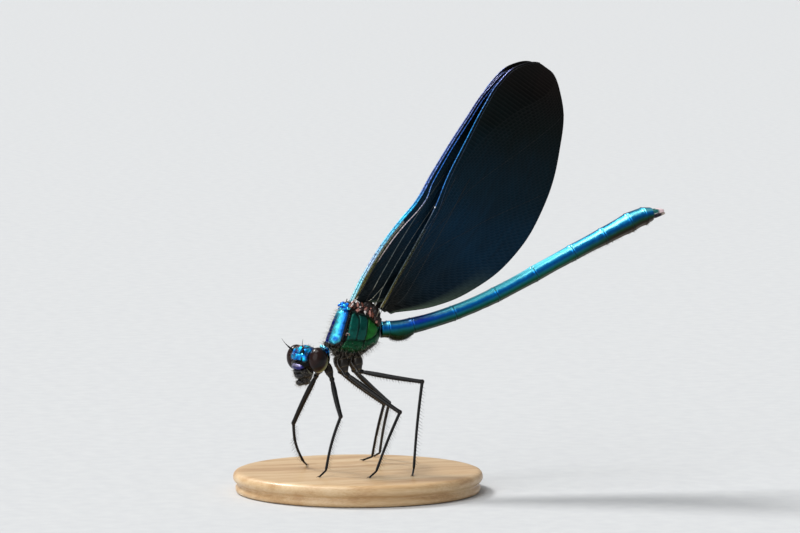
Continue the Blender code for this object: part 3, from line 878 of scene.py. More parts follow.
# Each plate on the left side: centre, half sizes and tint.
HINGE_PLATES = (
    ((-1.18, 0.84, 20.86), (0.20, 0.20, 0.30), HINGE_PINK),
    ((-0.86, 0.70, 21.18), (0.16, 0.18, 0.28), HINGE_GLINT_WHITE),
    ((-0.62, 0.86, 20.78), (0.18, 0.18, 0.34), HINGE_BROWN),
    ((-0.38, 1.04, 20.38), (0.26, 0.22, 0.22), HINGE_PINK),
    ((-0.26, 0.82, 20.92), (0.16, 0.18, 0.36), HINGE_PINK),
    ((0.12, 0.95, 20.46), (0.22, 0.20, 0.26), HINGE_BROWN),
    ((0.24, 0.80, 20.95), (0.16, 0.18, 0.30), HINGE_RUST),
    ((0.50, 1.08, 20.12), (0.18, 0.16, 0.26), HINGE_GLINT_WHITE),
    ((0.78, 1.02, 20.34), (0.18, 0.20, 0.30), HINGE_BROWN),
    ((1.06, 1.10, 20.04), (0.14, 0.18, 0.36), HINGE_PINK),
    ((1.34, 1.12, 19.88), (0.18, 0.18, 0.34), HINGE_RUST),
    ((1.62, 1.14, 19.42), (0.18, 0.20, 0.34), HINGE_BROWN),
    ((1.80, 1.12, 19.10), (0.16, 0.16, 0.20), HINGE_PINK),
    ((2.02, 1.05, 18.92), (0.24, 0.22, 0.34), HINGE_BROWN),
    ((0.20, 0.50, 20.55), (0.95, 0.50, 0.40), BACK_BROWN),
    ((1.20, 0.55, 19.80), (0.80, 0.60, 0.46), BACK_BROWN),
    ((-0.95, 0.42, 20.95), (0.80, 0.45, 0.34), BACK_BROWN),
    ((0.95, 0.62, 20.75), (0.80, 0.28, 0.52), BACK_BROWN),
    ((1.60, 0.76, 20.40), (0.58, 0.28, 0.46), BACK_BROWN),
    ((1.85, 0.94, 19.80), (0.50, 0.24, 0.70), BACK_BROWN),
    ((2.10, 0.94, 19.20), (0.38, 0.22, 0.46), BACK_BROWN),
    ((-1.72, 1.59, 17.95), (0.13, 0.06, 0.05), HINGE_GLINT_WHITE),
    ((-1.52, 1.62, 17.76), (0.04, 0.05, 0.13), HINGE_PINK),
    ((-1.86, 1.56, 17.78), (0.04, 0.05, 0.13), HINGE_PINK),
)
HINGE_LEAN = math.radians(52)
RIDGE_SPACING = 0.24
# Narrow straps of hard skin lie between the plates. Most of them lean the way the wings do.
STRAP_LINE = (
    (-1.25, 20.98), (-0.55, 20.62), (0.10, 20.55), (0.70, 20.35), (1.30, 20.05), (1.75, 19.50),
    (2.10, 18.95),
)
STRAPS_A_SIDE = 74
STRAP_TINTS = (
    HINGE_PINK, HINGE_RUST, HINGE_BROWN, BACK_BROWN, HINGE_GLINT_WHITE,
    HINGE_PINK, HINGE_RUST, HINGE_BROWN, BACK_BROWN,
)

form = new_form()
for sign in (-1, 1):
    for (x, y, z), size, colour in HINGE_PLATES:
        centre = Vector((x, sign * y, z))
        plate = add_lump(form, WORLD, centre, size, level=4)
        for corner in plate:
            to_rear = corner.co.x * math.sin(HINGE_LEAN) - corner.co.z * math.cos(HINGE_LEAN)
            waver = 0.5 * noise.noise(corner.co * 1.7)
            ridge = 0.16 * size[0] * math.sin(math.tau * (to_rear + waver) / RIDGE_SPACING)
            fold = 0.05 * noise.noise(corner.co * 5.0) + min(max(ridge, -0.035), 0.035)
            corner.co += (corner.co - centre).normalized() * fold
        paint(form, plate, colour)
random.seed(3)
for sign in (-1, 1):
    for _ in range(STRAPS_A_SIDE):
        place = random.uniform(0, len(STRAP_LINE) - 1.001)
        (x, z), (next_x, next_z) = STRAP_LINE[int(place)], STRAP_LINE[int(place) + 1]
        share = place - int(place)
        up = random.uniform(-0.18, 0.42)
        centre = Vector((
            x + (next_x - x) * share + 0.6 * up,
            sign * (1.04 - 0.34 * max(up, 0.0) + random.uniform(-0.05, 0.08)),
            z + (next_z - z) * share + up,
        ))
        lean = Matrix.Rotation(math.radians(90) - HINGE_LEAN + random.gauss(0.0, 0.35), 4, "Y")
        size = [random.uniform(0.035, 0.075), random.uniform(0.05, 0.09), random.uniform(0.10, 0.28)]
        strap = add_lump(form, Matrix.Translation(centre) @ lean, ORIGIN, size, level=3)
        roughen(strap, centre, 0.04, 6.0)
        paint(form, strap, random.choice(STRAP_TINTS))

hinge_cuticle, tree, shader, in_mm = start_material(
    "soft_hinge_cuticle", Roughness=0.42, IOR=1.45, Specular_IOR_Level=0.3,
    Coat_Weight=0.18, Coat_Roughness=0.12,
)
own_tint = add(tree, "Attribute", attribute_name="tint")
veil = add(tree, "TexNoise", {"Vector": in_mm, "Scale": 3.0, "Detail": 4.0})
veil_shade = add(tree, "MapRange", {"Value": veil, "To Min": 0.45, "To Max": 1.55})
veiled = add(tree, "VectorMath", {0: own_tint, "Scale": veil_shade}, operation="SCALE")
join(tree, shader, {"Base Color": veiled})
bump = add(tree, "Bump", {"Height": veil, "Strength": 0.6, "Distance": 0.06 * MM})
join(tree, shader, {"Normal": bump})
finish(form, "wing_hinge_plates", [hinge_cuticle], "teal_cuticle")

# %% [markdown]
# ## Abdomen
# Ten rings slide into each other like the tubes of a telescope. Each has a raised rear rim that catches
# the light, a dark soft joint behind it and a slim waist. The whole abdomen is one skin: a grid is bent
# round a line that climbs to the tail tip, and the radius along it carries the rims and joints. Two
# marks travel with the skin, how high a corner lies on its ring and how far along the abdomen it is.

# %% Abdomen line
ABDOMEN_START = Vector((2.55, 0.0, 18.08))
# Rings in order: length, slope at the rear end in degrees and diameter at the rear end.
ABDOMEN_RINGS = (
    (0.94, 2.0, 1.95), (2.85, 11.0, 1.88), (5.11, 18.0, 1.80), (5.40, 24.5, 1.84), (5.12, 27.0, 1.90),
    (5.12, 25.8, 1.96), (4.15, 25.0, 2.06), (3.45, 26.0, 2.36), (1.93, 16.0, 2.12), (1.10, 8.0, 1.50),
)
ABDOMEN_WAIST = 0.96
BELLY_DEPTH = 0.55
STEPS_A_RING = 24
ABDOMEN_COLUMNS = 60

line_places, line_slopes, line_widths = [ABDOMEN_START.copy()], [0.0], [1.95]
for length, end_slope, end_width in ABDOMEN_RINGS:
    slope, width = line_slopes[-1], line_widths[-1]
    for step in range(1, STEPS_A_RING + 1):
        share = step / STEPS_A_RING
        before = math.radians(slope + (end_slope - slope) * (step - 1) / STEPS_A_RING)
        pace = Vector((math.cos(before), 0.0, math.sin(before))) * (length / STEPS_A_RING)
        line_places.append(line_places[-1] + pace)
        line_slopes.append(slope + (end_slope - slope) * share)
        line_widths.append(width + (end_width - width) * share)
line_places = np.array(line_places)


def abdomen_at(ring):
    """The middle, direction, upward direction and width of the abdomen, ring 0 to 10 along it."""
    steps = np.arange(len(line_slopes)) / STEPS_A_RING
    middle = Vector([float(np.interp(ring, steps, line_places[:, axis])) for axis in range(3)])
    slope = math.radians(float(np.interp(ring, steps, line_slopes)))
    along = Vector((math.cos(slope), 0.0, math.sin(slope)))
    return middle, along, Vector((-along.z, 0.0, along.x)), float(np.interp(ring, steps, line_widths))


print("tail tip at", [round(value, 2) for value in abdomen_at(10.0)[0]])

# %% Abdomen skin
BODY_RINGS = len(ABDOMEN_RINGS)
RIM_LENGTH = 0.16
JOINT_LENGTH = 0.10
JOINT_DEPTH = 0.10
RIM_HEIGHT = 0.045
END_ROUNDING = 0.22
FRONT_ROUNDING = 0.12
# The furrow between back plate and belly: its depth, how far round the ring it lies, and its half width.
FURROW = (0.05, 2.45, 0.10)
# Rows are closest near the joints, where the profile changes fast.
row_places = [0.0]
for number, (length, _, _) in enumerate(ABDOMEN_RINGS):
    rows = max(10, round(length / 0.16))
    for row in range(1, rows + 1):
        share = row / rows
        row_places.append(number + share - 0.6 * math.sin(math.tau * share) / math.tau)


def ring_profile(number, share, length):
    """How much wider or narrower a ring is at a share of its length, in mm."""
    from_front, from_rear = share * length, (1 - share) * length
    waist = -(1 - ABDOMEN_WAIST) * (1 - (2 * share - 1) ** 2)
    tuck = 0.0 if number == 0 else -JOINT_DEPTH * (1 - float(rise(from_front, 0.0, JOINT_LENGTH)))
    rim = RIM_HEIGHT * math.exp(-(((from_rear - 0.5 * RIM_LENGTH) / (0.5 * RIM_LENGTH)) ** 2))
    is_last = number == BODY_RINGS - 1
    drop = 0.0 if is_last else -JOINT_DEPTH * (1 - float(rise(from_rear, 0.0, 0.04)))
    return waist, tuck + rim + drop - 0.02


def abdomen_place(u, v):
    """A point of the abdomen's skin: u goes round from the back, v runs from front to rear."""
    ring = row_places[round(v * (len(row_places) - 1))]
    number = min(int(ring), BODY_RINGS - 1)
    share = ring - number
    length = ABDOMEN_RINGS[number][0]
    middle, along, up, width = abdomen_at(ring)
    waist, extra = ring_profile(number, share, length)
    radius = width / 2 * (1 + waist) + extra
    to_tail = sum(item[0] for item in ABDOMEN_RINGS[number + 1:]) + (1 - share) * length
    if to_tail < END_ROUNDING:
        radius *= math.sqrt(max(0.0, 1 - (1 - to_tail / END_ROUNDING) ** 2))
    if ring < FRONT_ROUNDING:
        radius *= math.sqrt(max(0.0, 1 - (1 - ring / FRONT_ROUNDING) ** 2))
    turn = math.tau * u
    lift = math.cos(turn)
    belly = BELLY_DEPTH * (1 - (2 * share - 1) ** 2) if number == 1 else 0.0
    depth, place, half_width = FURROW
    from_furrow = abs(math.pi - abs(turn - math.pi)) - place
    reach = radius - depth * math.exp(-((from_furrow / half_width) ** 2)) * min(1.0, radius)
    sideways = Vector((0.0, reach * math.sin(turn), 0.0))
    return middle + up * (reach * lift - belly * max(0.0, -lift) ** 2) + sideways, lift, ring


form = new_form("lift", "ring")
add_grid(form, ABDOMEN_COLUMNS, len(row_places) - 1, abdomen_place, marks=("lift", "ring"))
bmesh.ops.recalc_face_normals(form, faces=form.faces)
form.normal_update()
for corner in list(form.verts):
    ripple = 0.012 * noise.noise(corner.co * 2.2) + 0.008 * noise.noise(corner.co * 7.0)
    corner.co += corner.normal * ripple
print("rows along the abdomen:", len(row_places), "and corners:", len(form.verts))

# %% [markdown]
# ## Abdomen finish
# This cuticle is layered as on the thorax but smooth, so a long bright line runs down the back. The
# material reads the two marks of the skin: violet blue to cyan on the back, teal on the flanks, and
# green to brown beneath. The palest cyan, a band high on each side, is a painted highlight. On the
# middle rings the wings above shade the back, so there it is less metallic and painted a paler cyan,
# a painted highlight.

# %% Abdomen material
abdomen_cuticle, tree, shader, in_mm = start_material(
    "layered_cuticle_smooth", Metallic=1.0, Coat_Weight=0.18, Coat_Roughness=0.14
)
lift = add(tree, "Attribute", attribute_name="lift")
ring = add(tree, "Attribute", attribute_name="ring")
# Long streaks of colour follow the rings, a few tenths of a millimetre wide.
waver = add(tree, "TexNoise", {"Vector": in_mm, "Scale": 1.3, "Detail": 5.0, "Roughness": 0.62})
sway = add(tree, "MapRange", {"Value": waver, "To Min": -0.16, "To Max": 0.16})
level = add(tree, "Math", {0: lift.outputs["Fac"], 1: sway}, operation="ADD")
share = add(tree, "MapRange", {"Value": level, "From Min": -1.0, "From Max": 1.0})
# In each of the three ramps the palest cyan stops, high on the ring, are a painted highlight.
back_to_belly = add(
    tree, "ValToRGB", {"Fac": share},
    stops=(
        (0.0, "#0d1006"), (0.14, "#0c2a10"), (0.30, "#04442e"), (0.44, "#045a60"), (0.55, "#025c94"),
        (0.66, "#026cc8"), (0.76, "#18a4ee"), (0.84, "#8af2ff"), (0.92, "#62e0fa"), (0.97, "#1a94cc"),
        (1.0, "#0c70a0"),
    ),
)
violet = add(
    tree, "ValToRGB", {"Fac": share},
    stops=(
        (0.0, "#0d1006"), (0.14, "#0c2410"), (0.34, "#053f38"), (0.52, "#025a74"), (0.66, "#0a48c8"),
        (0.80, "#2a4ae8"), (0.88, "#7aa4ff"), (0.94, "#3a62f0"), (1.0, "#1a3aa0"),
    ),
)
brown_tail = add(
    tree, "ValToRGB", {"Fac": share},
    stops=(
        (0.0, "#4a3a14"), (0.16, "#2c2012"), (0.32, "#1a1c10"), (0.44, "#123c26"), (0.54, "#04506c"),
        (0.66, "#0264b8"), (0.76, "#18a0e8"), (0.84, "#8af2ff"), (0.92, "#6ae4fa"), (0.97, "#1c90c0"),
        (1.0, "#0a6088"),
    ),
)
# Violet blue shows on the second and third ring, and brown shows beneath from the seventh.
along_body = add(tree, "Math", {0: ring.outputs["Fac"], 1: float(BODY_RINGS)}, operation="DIVIDE")
front_part = add(
    tree, "ValToRGB", {"Fac": along_body},
    stops=((0.0, "#404040"), (0.14, "#808080"), (0.22, "#ffffff"), (0.30, "#606060"), (0.36, "#000000")),
)
with_violet = add(tree, "Mix", {0: front_part, 6: back_to_belly, 7: violet}, data_type="RGBA")
tail_part = add(tree, "MapRange", {"Value": ring.outputs["Fac"], "From Min": 5.8, "From Max": 7.2})
with_brown = add(tree, "Mix", {0: tail_part, 6: with_violet, 7: brown_tail}, data_type="RGBA")
# Painted highlight: the wings above shade the back of the middle rings, so there it is made less metallic
# and paler cyan.
highlight_rings = add(
    tree, "ValToRGB", {"Fac": along_body},
    stops=(
        (0.0, "#000000"), (0.22, "#303030"), (0.30, "#d0d0d0"), (0.36, "#ffffff"), (0.52, "#ffffff"),
        (0.62, "#606060"), (0.74, "#000000"),
    ),
)
highlight_on_back = add(tree, "MapRange", {"Value": share, "From Min": 0.76, "From Max": 0.88})
painted_highlight = add(tree, "Math", {0: highlight_rings, 1: highlight_on_back}, operation="MULTIPLY")
mirror = add(tree, "MapRange", {"Value": painted_highlight, "To Min": 1.0, "To Max": 0.10})
join(tree, shader, {"Metallic": mirror})
with_painted_highlight = add(tree, "Mix", {0: painted_highlight, 6: with_brown, 7: srgb("#5ce8ff")}, data_type="RGBA")
# The soft joint shows as a dark line at each whole number of the ring mark.
within = add(tree, "Math", {0: ring.outputs["Fac"]}, operation="FRACT")
joint = add(
    tree, "ValToRGB", {"Fac": within},
    stops=((0.0, "#ffffff"), (0.018, "#808080"), (0.03, "#000000"), (0.985, "#000000"), (1.0, "#a0a0a0")),
)
joined = add(tree, "Mix", {0: joint, 6: with_painted_highlight, 7: srgb("#063440")}, data_type="RGBA")
join(tree, shader, {"Base Color": joined})
gloss = add(tree, "MapRange", {"Value": waver, "To Min": 0.22, "To Max": 0.40})
join(tree, shader, {"Roughness": gloss})
# Hair pits lie about 0.1 mm apart.
pits = add(tree, "TexVoronoi", {"Vector": in_mm, "Scale": 1 / 0.12})
bump = add(tree, "Bump", {"Height": pits, "Strength": 0.4, "Distance": 0.02 * MM})
join(tree, shader, {"Normal": bump})
rings = [f"abdomen_{number}" for number in range(1, BODY_RINGS + 1)]
finish(form, "abdomen_skin", [abdomen_cuticle], "blue_cuticle", *rings)

# %% [markdown]
# ## Claspers
# A male damselfly holds his mate with two pairs of hooks at the tail tip. The upper pair bows outwards
# and meets again at blunt pinkish tips, and the lower pair is dark with greyer tips. Each is a tapered
# tube along a short bowed line, measured along the tail, to the side and up from the last ring's end.

# %% Claspers
UPPER_TINTS = (srgb("#17605c"), srgb("#e6ccce"))
LOWER_TINTS = (srgb("#241c28"), srgb("#b4a89c"))
UPPER_LINE = (
    (-0.35, 0.34, 0.20), (0.05, 0.44, 0.27), (0.45, 0.52, 0.28), (0.85, 0.46, 0.25), (1.20, 0.28, 0.17),
)
UPPER_RADII = (0.22, 0.24, 0.21, 0.21, 0.18)
LOWER_LINE = (
    (-0.30, 0.26, -0.28), (0.10, 0.30, -0.30), (0.50, 0.30, -0.26), (0.95, 0.28, -0.17),
    (1.35, 0.22, -0.11),
)
LOWER_RADII = (0.20, 0.20, 0.17, 0.16, 0.14)
CLASPER_STEPS = 22

tail, tail_along, tail_up, _ = abdomen_at(10.0)


def add_hook(form, line, radii, sign, tints, tip_share):
    """A bowed hook behind the tail, pale beyond tip_share of its length."""
    knots = [(index, *point, radius) for index, (point, radius) in enumerate(zip(line, radii))]
    path = curve_through(knots)
    points, widths = [], []
    for step in range(CLASPER_STEPS + 1):
        along, side, up, radius = path(step / CLASPER_STEPS * (len(line) - 1))
        points.append(tail + tail_along * along + Vector((0.0, sign * side, 0.0)) + tail_up * up)
        widths.append(radius)
    widths[-2] *= 0.9
    widths[-1] *= 0.55
    reach = (points[-1] - points[0]).dot(tail_along)
    for corner in add_tube(form, points, widths, 16):
        share = (corner.co - points[0]).dot(tail_along) / reach
        paint(form, [corner], between(*tints, rise(share, tip_share, tip_share + 0.2)))


for side, sign in (("left", -1), ("right", 1)):
    form = new_form()
    add_hook(form, UPPER_LINE, UPPER_RADII, sign, UPPER_TINTS, 0.45)
    finish(form, f"clasper_{side}_hook", [black_cuticle], "black_cuticle", f"clasper_{side}")
form = new_form()
for sign in (-1, 1):
    add_hook(form, LOWER_LINE, LOWER_RADII, sign, LOWER_TINTS, 0.62)
finish(form, "lower_claspers", [black_cuticle], "black_cuticle")

# %% [markdown]
# ## Wings
# The wing is a stiff net of veins with a skin a few hundredths of a millimetre thick in its meshes. Long
# veins leave the root in a bundle, curve to the rear edge and fork, and short cross veins stand between
# them in brick order. So the net comes from one flat grid. Its rows are the long veins, which are let in
# only where there is room for one more, and half of the cross veins are dissolved away. The grid is then
# bent to the outline, gets its thickness, and each mesh is inset on both faces: the rim is left as vein
# and the inner face becomes membrane.

# %% Wing outlines
WING_TRAILING = (
    (33.3, 0.30), (31.4, 4.10), (26.4, 7.30), (19.8, 9.40), (13.4, 9.50), (8.0, 7.70), (4.0, 5.00),
    (0.5, 1.10),
)
WINGS = {
    "fore": {
        "leading": (
            (0.2, -0.25), (2.9, -0.84), (7.2, -1.34), (10.3, -1.37), (13.6, -1.25), (17.3, -1.80),
            (24.4, -2.55), (29.4, -2.75), (32.3, -2.00),
        ),
        "root": (-0.55, 21.4), "stretch": 32.3 / 33.3, "breadth": 0.93, "tilt": 50.7, "plane": 0.30,
        # The gap between the front edge and the main vein behind it, along the wing.
        "gap": (
            (0.0, 0.30), (1.2, 0.48), (9.0, 0.52), (14.2, 0.70), (15.6, 0.45), (20.0, 0.34), (33.0, 0.24),
        ),
    },
    "hind": {
        "leading": (
            (0.2, -0.35), (4.8, -0.72), (8.9, -1.00), (12.9, -1.36), (16.6, -2.10), (20.9, -2.60),
            (25.7, -3.08), (28.6, -3.12), (31.6, -2.20),
        ),
        "root": (2.35, 20.25), "stretch": 1.0, "breadth": 1.0, "tilt": 55.2, "plane": 1.24,
        "gap": ((0.0, 0.28), (11.0, 0.34), (12.9, 0.56), (14.6, 0.42), (20.0, 0.34), (33.0, 0.24)),
    },
}
OUTLINE_STEPS = 24


def smooth_outline(knots):
    """Points of the closed smooth line through knots, with straight ends at the root."""
    curve = bpy.data.curves.new("wing_outline", "CURVE")
    curve.resolution_u = OUTLINE_STEPS
    spline = curve.splines.new("BEZIER")
    spline.use_cyclic_u = True
    spline.bezier_points.add(len(knots) - 1)
    for knot, (along, across) in zip(spline.bezier_points, knots):
        knot.co = (along, across, 0.0)
        knot.handle_left_type = "AUTO"
        knot.handle_right_type = "AUTO"
    for knot in (spline.bezier_points[0], spline.bezier_points[-1]):
        knot.handle_left_type = "VECTOR"
        knot.handle_right_type = "VECTOR"
    holder = bpy.data.objects.new("wing_outline", curve)
    points = np.array([corner.co[:2] for corner in holder.to_mesh().vertices])
    holder.to_mesh_clear()
    bpy.data.objects.remove(holder)
    bpy.data.curves.remove(curve)
    return points


for name, wing in WINGS.items():
    knots = [(s * wing["stretch"], t * wing["breadth"]) for s, t in (*wing["leading"], *WING_TRAILING)]
    points = smooth_outline(knots)
    tip = int(points[:, 0].argmax())
    rear = points[tip:][::-1]
    wing["length"] = float(points[tip, 0])
    wing["front_edge"] = points[: tip + 1]
    wing["rear_edge"] = rear[rear[:, 0].argmin():]
    print(f"{name} wing: {wing['length']:.1f} mm long, {len(points)} outline points")

# %% Long veins
WING_ROWS = 65
WING_COLUMNS = 150
ROOT_LENGTH = 0.35
CELL = 0.20
TIP_CROWDING = 1 / 11
TIP_CUT = 0.10

row_share = np.arange(WING_ROWS) / (WING_ROWS - 1)
column_share = np.arange(WING_COLUMNS + 1) / WING_COLUMNS


def plan_veins(wing):
    """For each row and column of the net: the distances along and across the wing, and what is kept."""
    s = wing["length"] * (column_share * (1 + TIP_CROWDING) - TIP_CROWDING * column_share**12)
    s = ROOT_LENGTH + (s / s[-1]) * (wing["length"] - TIP_CUT - ROOT_LENGTH)
    front = np.interp(s, *wing["front_edge"].T)
    rear = np.interp(s, *wing["rear_edge"].T)
    chord = np.maximum(rear - front, 1e-4)
    gap = np.minimum(np.interp(s, *np.array(wing["gap"]).T) / chord, 0.4)
    # Vein by vein: where it meets the rear edge, and how long it keeps to the front before it turns.
    ends = wing["length"] * (1.001 - 0.985 * row_share**1.4)
    power = 0.9 + 0.45 / (row_share + 0.09)
    spread = np.minimum(s[None, :] / ends[:, None], 1.0) ** power[:, None]
    spread[0] = 0.0
    spread[-1] = 1.0
    across = gap + (1 - gap) * np.maximum.accumulate(spread, axis=0)
    across = np.vstack([np.zeros(len(s)), across])
    # A row is let in where its neighbours stand two meshes apart, coarse rows first.
    active = np.ones((WING_ROWS + 1, WING_COLUMNS + 1), dtype=bool)
    half = (WING_ROWS - 1) // 2
    while half >= 1:
        for row in range(half, WING_ROWS - 1, 2 * half):
            room = (across[1 + row + half] - across[1 + row - half]) * chord
            wide = np.flatnonzero(room > 2 * CELL)
            birth = int(wide[0]) if len(wide) else WING_COLUMNS + 1
            active[1 + row, :birth] = False
        half //= 2
    return {"s": s, "front": front, "chord": chord, "across": across, "active": active}


for wing in WINGS.values():
    wing["plan"] = plan_veins(wing)
    print("veins at a third of the wing:", int(wing["plan"]["active"][:, WING_COLUMNS // 3].sum()))

# %% Wing net
MEMBRANE_THICKNESS = 0.05
VEIN_HALF_WIDTH = 0.022
MEMBRANE_SINK = 0.012
SMALLEST_MESH = 0.012
CORRUGATION = 0.12
ON_MARGIN = 0.9999
KNOT_MERGE = 0.012
CLEAR_REACH = 10.5
# A piece's materials by number: 0 is the vein, then the dark and the clear membrane.
NET_DARK, NET_CLEAR = 1, 2


def wing_frame(wing, sign):
    """The matrix from wing places (along, across to the rear, outwards) to the shared frame."""
    tilt = math.radians(wing["tilt"])
    x, z = wing["root"]
    return Matrix((
        (math.cos(tilt), math.sin(tilt), 0.0, x),
        (0.0, 0.0, sign, sign * wing["plane"]),
        (math.sin(tilt), -math.cos(tilt), 0.0, z),
        (0.0, 0.0, 0.0, 1.0),
    ))


def wing_relief(s, across):
    """How far a place of the wing stands out of its plane: pleats near the root, a soft arch beyond."""
    pleats = CORRUGATION * math.exp(-s / 9.0) * math.cos(math.tau * 3.5 * min(across, 1.0) ** 0.6)
    arch = 0.12 * math.sin(math.pi * across) * min(1.0, s / 10.0)
    return pleats * min(1.0, across / 0.02 + 0.3) + arch


def wing_spot(plan, row, column):
    """The place of one knot of the net in the wing's own measures."""
    across = plan["across"][row, column]
    s = plan["s"][column]
    return Vector((s, plan["front"][column] + plan["chord"][column] * across, wing_relief(s, across)))


def kept_edges(plan):
    """Which cross veins stay: brick order, and one wherever a new long vein begins."""
    keep = {}
    active = plan["active"]
    for column in range(1, WING_COLUMNS):
        rows = np.flatnonzero(active[:, column])
        for order, (low, high) in enumerate(zip(rows[:-1], rows[1:])):
            parity = (low // max(1, high - low) + column) % 2 == 0
            starts = not active[low, column - 1] or not active[high, column - 1]
            for row in range(low, high):
                keep[row, column] = bool(parity or starts)
    return keep


def make_net(name, wing, sign, vein, dark, clear):
    """The net of one wing as a closed thin shell with inset membranes."""
    plan = wing["plan"]
    form = new_form("reach", "across")
    row_of = form.verts.layers.int.new("row")
    column_of = form.verts.layers.int.new("column")
    made = bmesh.ops.create_grid(form, x_segments=WING_COLUMNS, y_segments=WING_ROWS, size=0.5)["verts"]
    reach = form.verts.layers.float["reach"]
    across = form.verts.layers.float["across"]
    for corner in made:
        row, column = round((corner.co.y + 0.5) * WING_ROWS), round((corner.co.x + 0.5) * WING_COLUMNS)
        corner[row_of], corner[column_of] = row, column
        corner.co = wing_spot(plan, row, column)
        corner[reach] = plan["s"][column] / wing["length"]
        corner[across] = plan["across"][row, column]
    # Rows that have already met the rear edge lie on top of each other and become one.
    on_margin = [corner for corner in made if corner[across] > ON_MARGIN]
    bmesh.ops.remove_doubles(form, verts=on_margin, dist=KNOT_MERGE)
    keep = kept_edges(plan)
    doomed = []
    for edge in form.edges:
        first, second = sorted(edge.verts, key=lambda corner: (corner[row_of], corner[column_of]))
        row, column = first[row_of], first[column_of]
        if edge.is_boundary or min(first[across], second[across]) > ON_MARGIN:
            continue
        if column == second[column_of]:
            if 0 < column < WING_COLUMNS and not keep[row, column]:
                doomed.append(edge)
        elif not plan["active"][row, min(column, second[column_of])]:
            doomed.append(edge)
    bmesh.ops.dissolve_edges(form, edges=doomed, use_verts=True, use_face_split=False)
    bmesh.ops.remove_doubles(form, verts=form.verts, dist=KNOT_MERGE)
    bmesh.ops.dissolve_degenerate(form, edges=form.edges, dist=0.004)
    cells = len(form.faces)
    bmesh.ops.recalc_face_normals(form, faces=form.faces)
    bmesh.ops.solidify(form, geom=form.faces[:], thickness=MEMBRANE_THICKNESS)
    form.normal_update()
    meshes = [face for face in form.faces if abs(face.normal.z) > 0.7 and face.calc_area() > SMALLEST_MESH]
    bmesh.ops.inset_individual(
        form, faces=meshes, thickness=VEIN_HALF_WIDTH, depth=-MEMBRANE_SINK, use_even_offset=True
    )
    for face in meshes:
        place = sum(corner[reach] for corner in face.verts) / len(face.verts)
        back = sum(corner[across] for corner in face.verts) / len(face.verts)
        s = place * wing["length"]
        before_vein = back < 0.5 * plan["across"][1, np.searchsorted(plan["s"], s)] + 0.02
        face.material_index = NET_CLEAR if s < CLEAR_REACH and before_vein else NET_DARK
    bmesh.ops.transform(form, matrix=wing_frame(wing, sign), verts=form.verts)
    print(name, "has", cells, "meshes")
    finish(form, f"wing_{name}_net", [vein, dark, clear], "wing_membrane", f"wing_{name}")


print("a mesh is about", CELL, "mm wide, and its membrane lies", MEMBRANE_SINK, "mm deep")

# %% [markdown]
# ## Wing finish
# A male's wing skin holds dark pigment under thin layers, so it looks nearly black with a blue and green
# sheen: a dark, partly metallic film with streaks along the veins, where the skin is rougher or glossier
# and its colour lighter or darker as a painted sheen. Between the front edge and the vein behind it the
# skin near the root is clear and amber. The fine veins are harder and glossier than the skin, so they
# catch the light as a net of thin lines.

# %% Wing materials
def make_wing_material(name, stops, gloss, **sockets):
    """Wing skin whose colour runs from root to tip, with fine streaks along the veins."""
    material, tree, shader, in_mm = start_material(name, **sockets)
    reach = add(tree, "Attribute", attribute_name="reach")
    across = add(tree, "Attribute", attribute_name="across")
    stretched = add(tree, "CombineXYZ", {"X": reach.outputs["Fac"], "Y": across.outputs["Fac"]})
    streaks = add(tree, "Mapping", {"Vector": stretched, "Scale": (7.0, 26.0, 1.0)})
    streak = add(tree, "TexNoise", {"Vector": streaks, "Scale": 1.0, "Detail": 5.0, "Roughness": 0.7})
    clouds = add(tree, "TexNoise", {"Vector": in_mm, "Scale": 0.16, "Detail": 2.0})
    drift = add(tree, "MapRange", {"Value": clouds, "To Min": -0.16, "To Max": 0.16})
    place = add(tree, "Math", {0: reach.outputs["Fac"], 1: drift}, operation="ADD")
    ramp = add(tree, "ValToRGB", {"Fac": place}, stops=stops)
    # The rear hem near the root turns grey green, where the skin is thin.
    hem = add(tree, "MapRange", {"Value": across.outputs["Fac"], "From Min": 0.80, "From Max": 1.0})
    inner = add(tree, "MapRange", {"Value": reach.outputs["Fac"], "From Min": 0.34, "From Max": 0.10})
    thin = add(tree, "Math", {0: hem, 1: inner}, operation="MULTIPLY")
    mixed = add(tree, "Mix", {0: thin, 6: ramp, 7: srgb("#4c5a4c")}, data_type="RGBA")
    # Painted sheen: the streaks make the colour lighter or darker along the veins.
    shade = add(tree, "MapRange", {"Value": streak, "To Min": 0.35, "To Max": 1.7})
    shaded = add(tree, "VectorMath", {0: mixed, "Scale": shade}, operation="SCALE")
    join(tree, shader, {"Base Color": shaded})
    rough = add(tree, "MapRange", {"Value": streak, "To Min": gloss, "To Max": gloss + 0.2})
    join(tree, shader, {"Roughness": rough})
    ripple = add(tree, "TexNoise", {"Vector": in_mm, "Scale": 2.5, "Detail": 3.0})
    bump = add(tree, "Bump", {"Height": ripple, "Strength": 0.25, "Distance": 0.02 * MM})
    join(tree, shader, {"Normal": bump})
    return material


DARK_WING = (
    (0.0, "#0e0d08"), (0.12, "#04141c"), (0.34, "#022236"), (0.56, "#011a26"), (0.78, "#010c0c"),
    (0.92, "#050504"), (1.0, "#0e0907"),
)
NET_SHADES = (
    (0.0, "#16150f"), (0.12, "#061820"), (0.36, "#032438"), (0.60, "#021824"), (0.80, "#030a0b"),
    (1.0, "#120b07"),
)
CLEAR_WING = ((0.0, "#8a7a34"), (0.12, "#6a6a34"), (0.24, "#2c3c30"), (0.4, "#14242c"), (1.0, "#0a1418"))
dark_membrane = make_wing_material(
    "layered_wing_membrane_dark", DARK_WING, 0.34, Metallic=0.75, Specular_IOR_Level=0.3
)
net_vein = make_wing_material(
    "fine_wing_vein_cuticle", NET_SHADES, 0.30, Metallic=0.6, Specular_IOR_Level=0.4
)
clear_membrane = make_wing_material("clear_wing_membrane", CLEAR_WING, 0.18, Alpha=0.38, IOR=1.5)

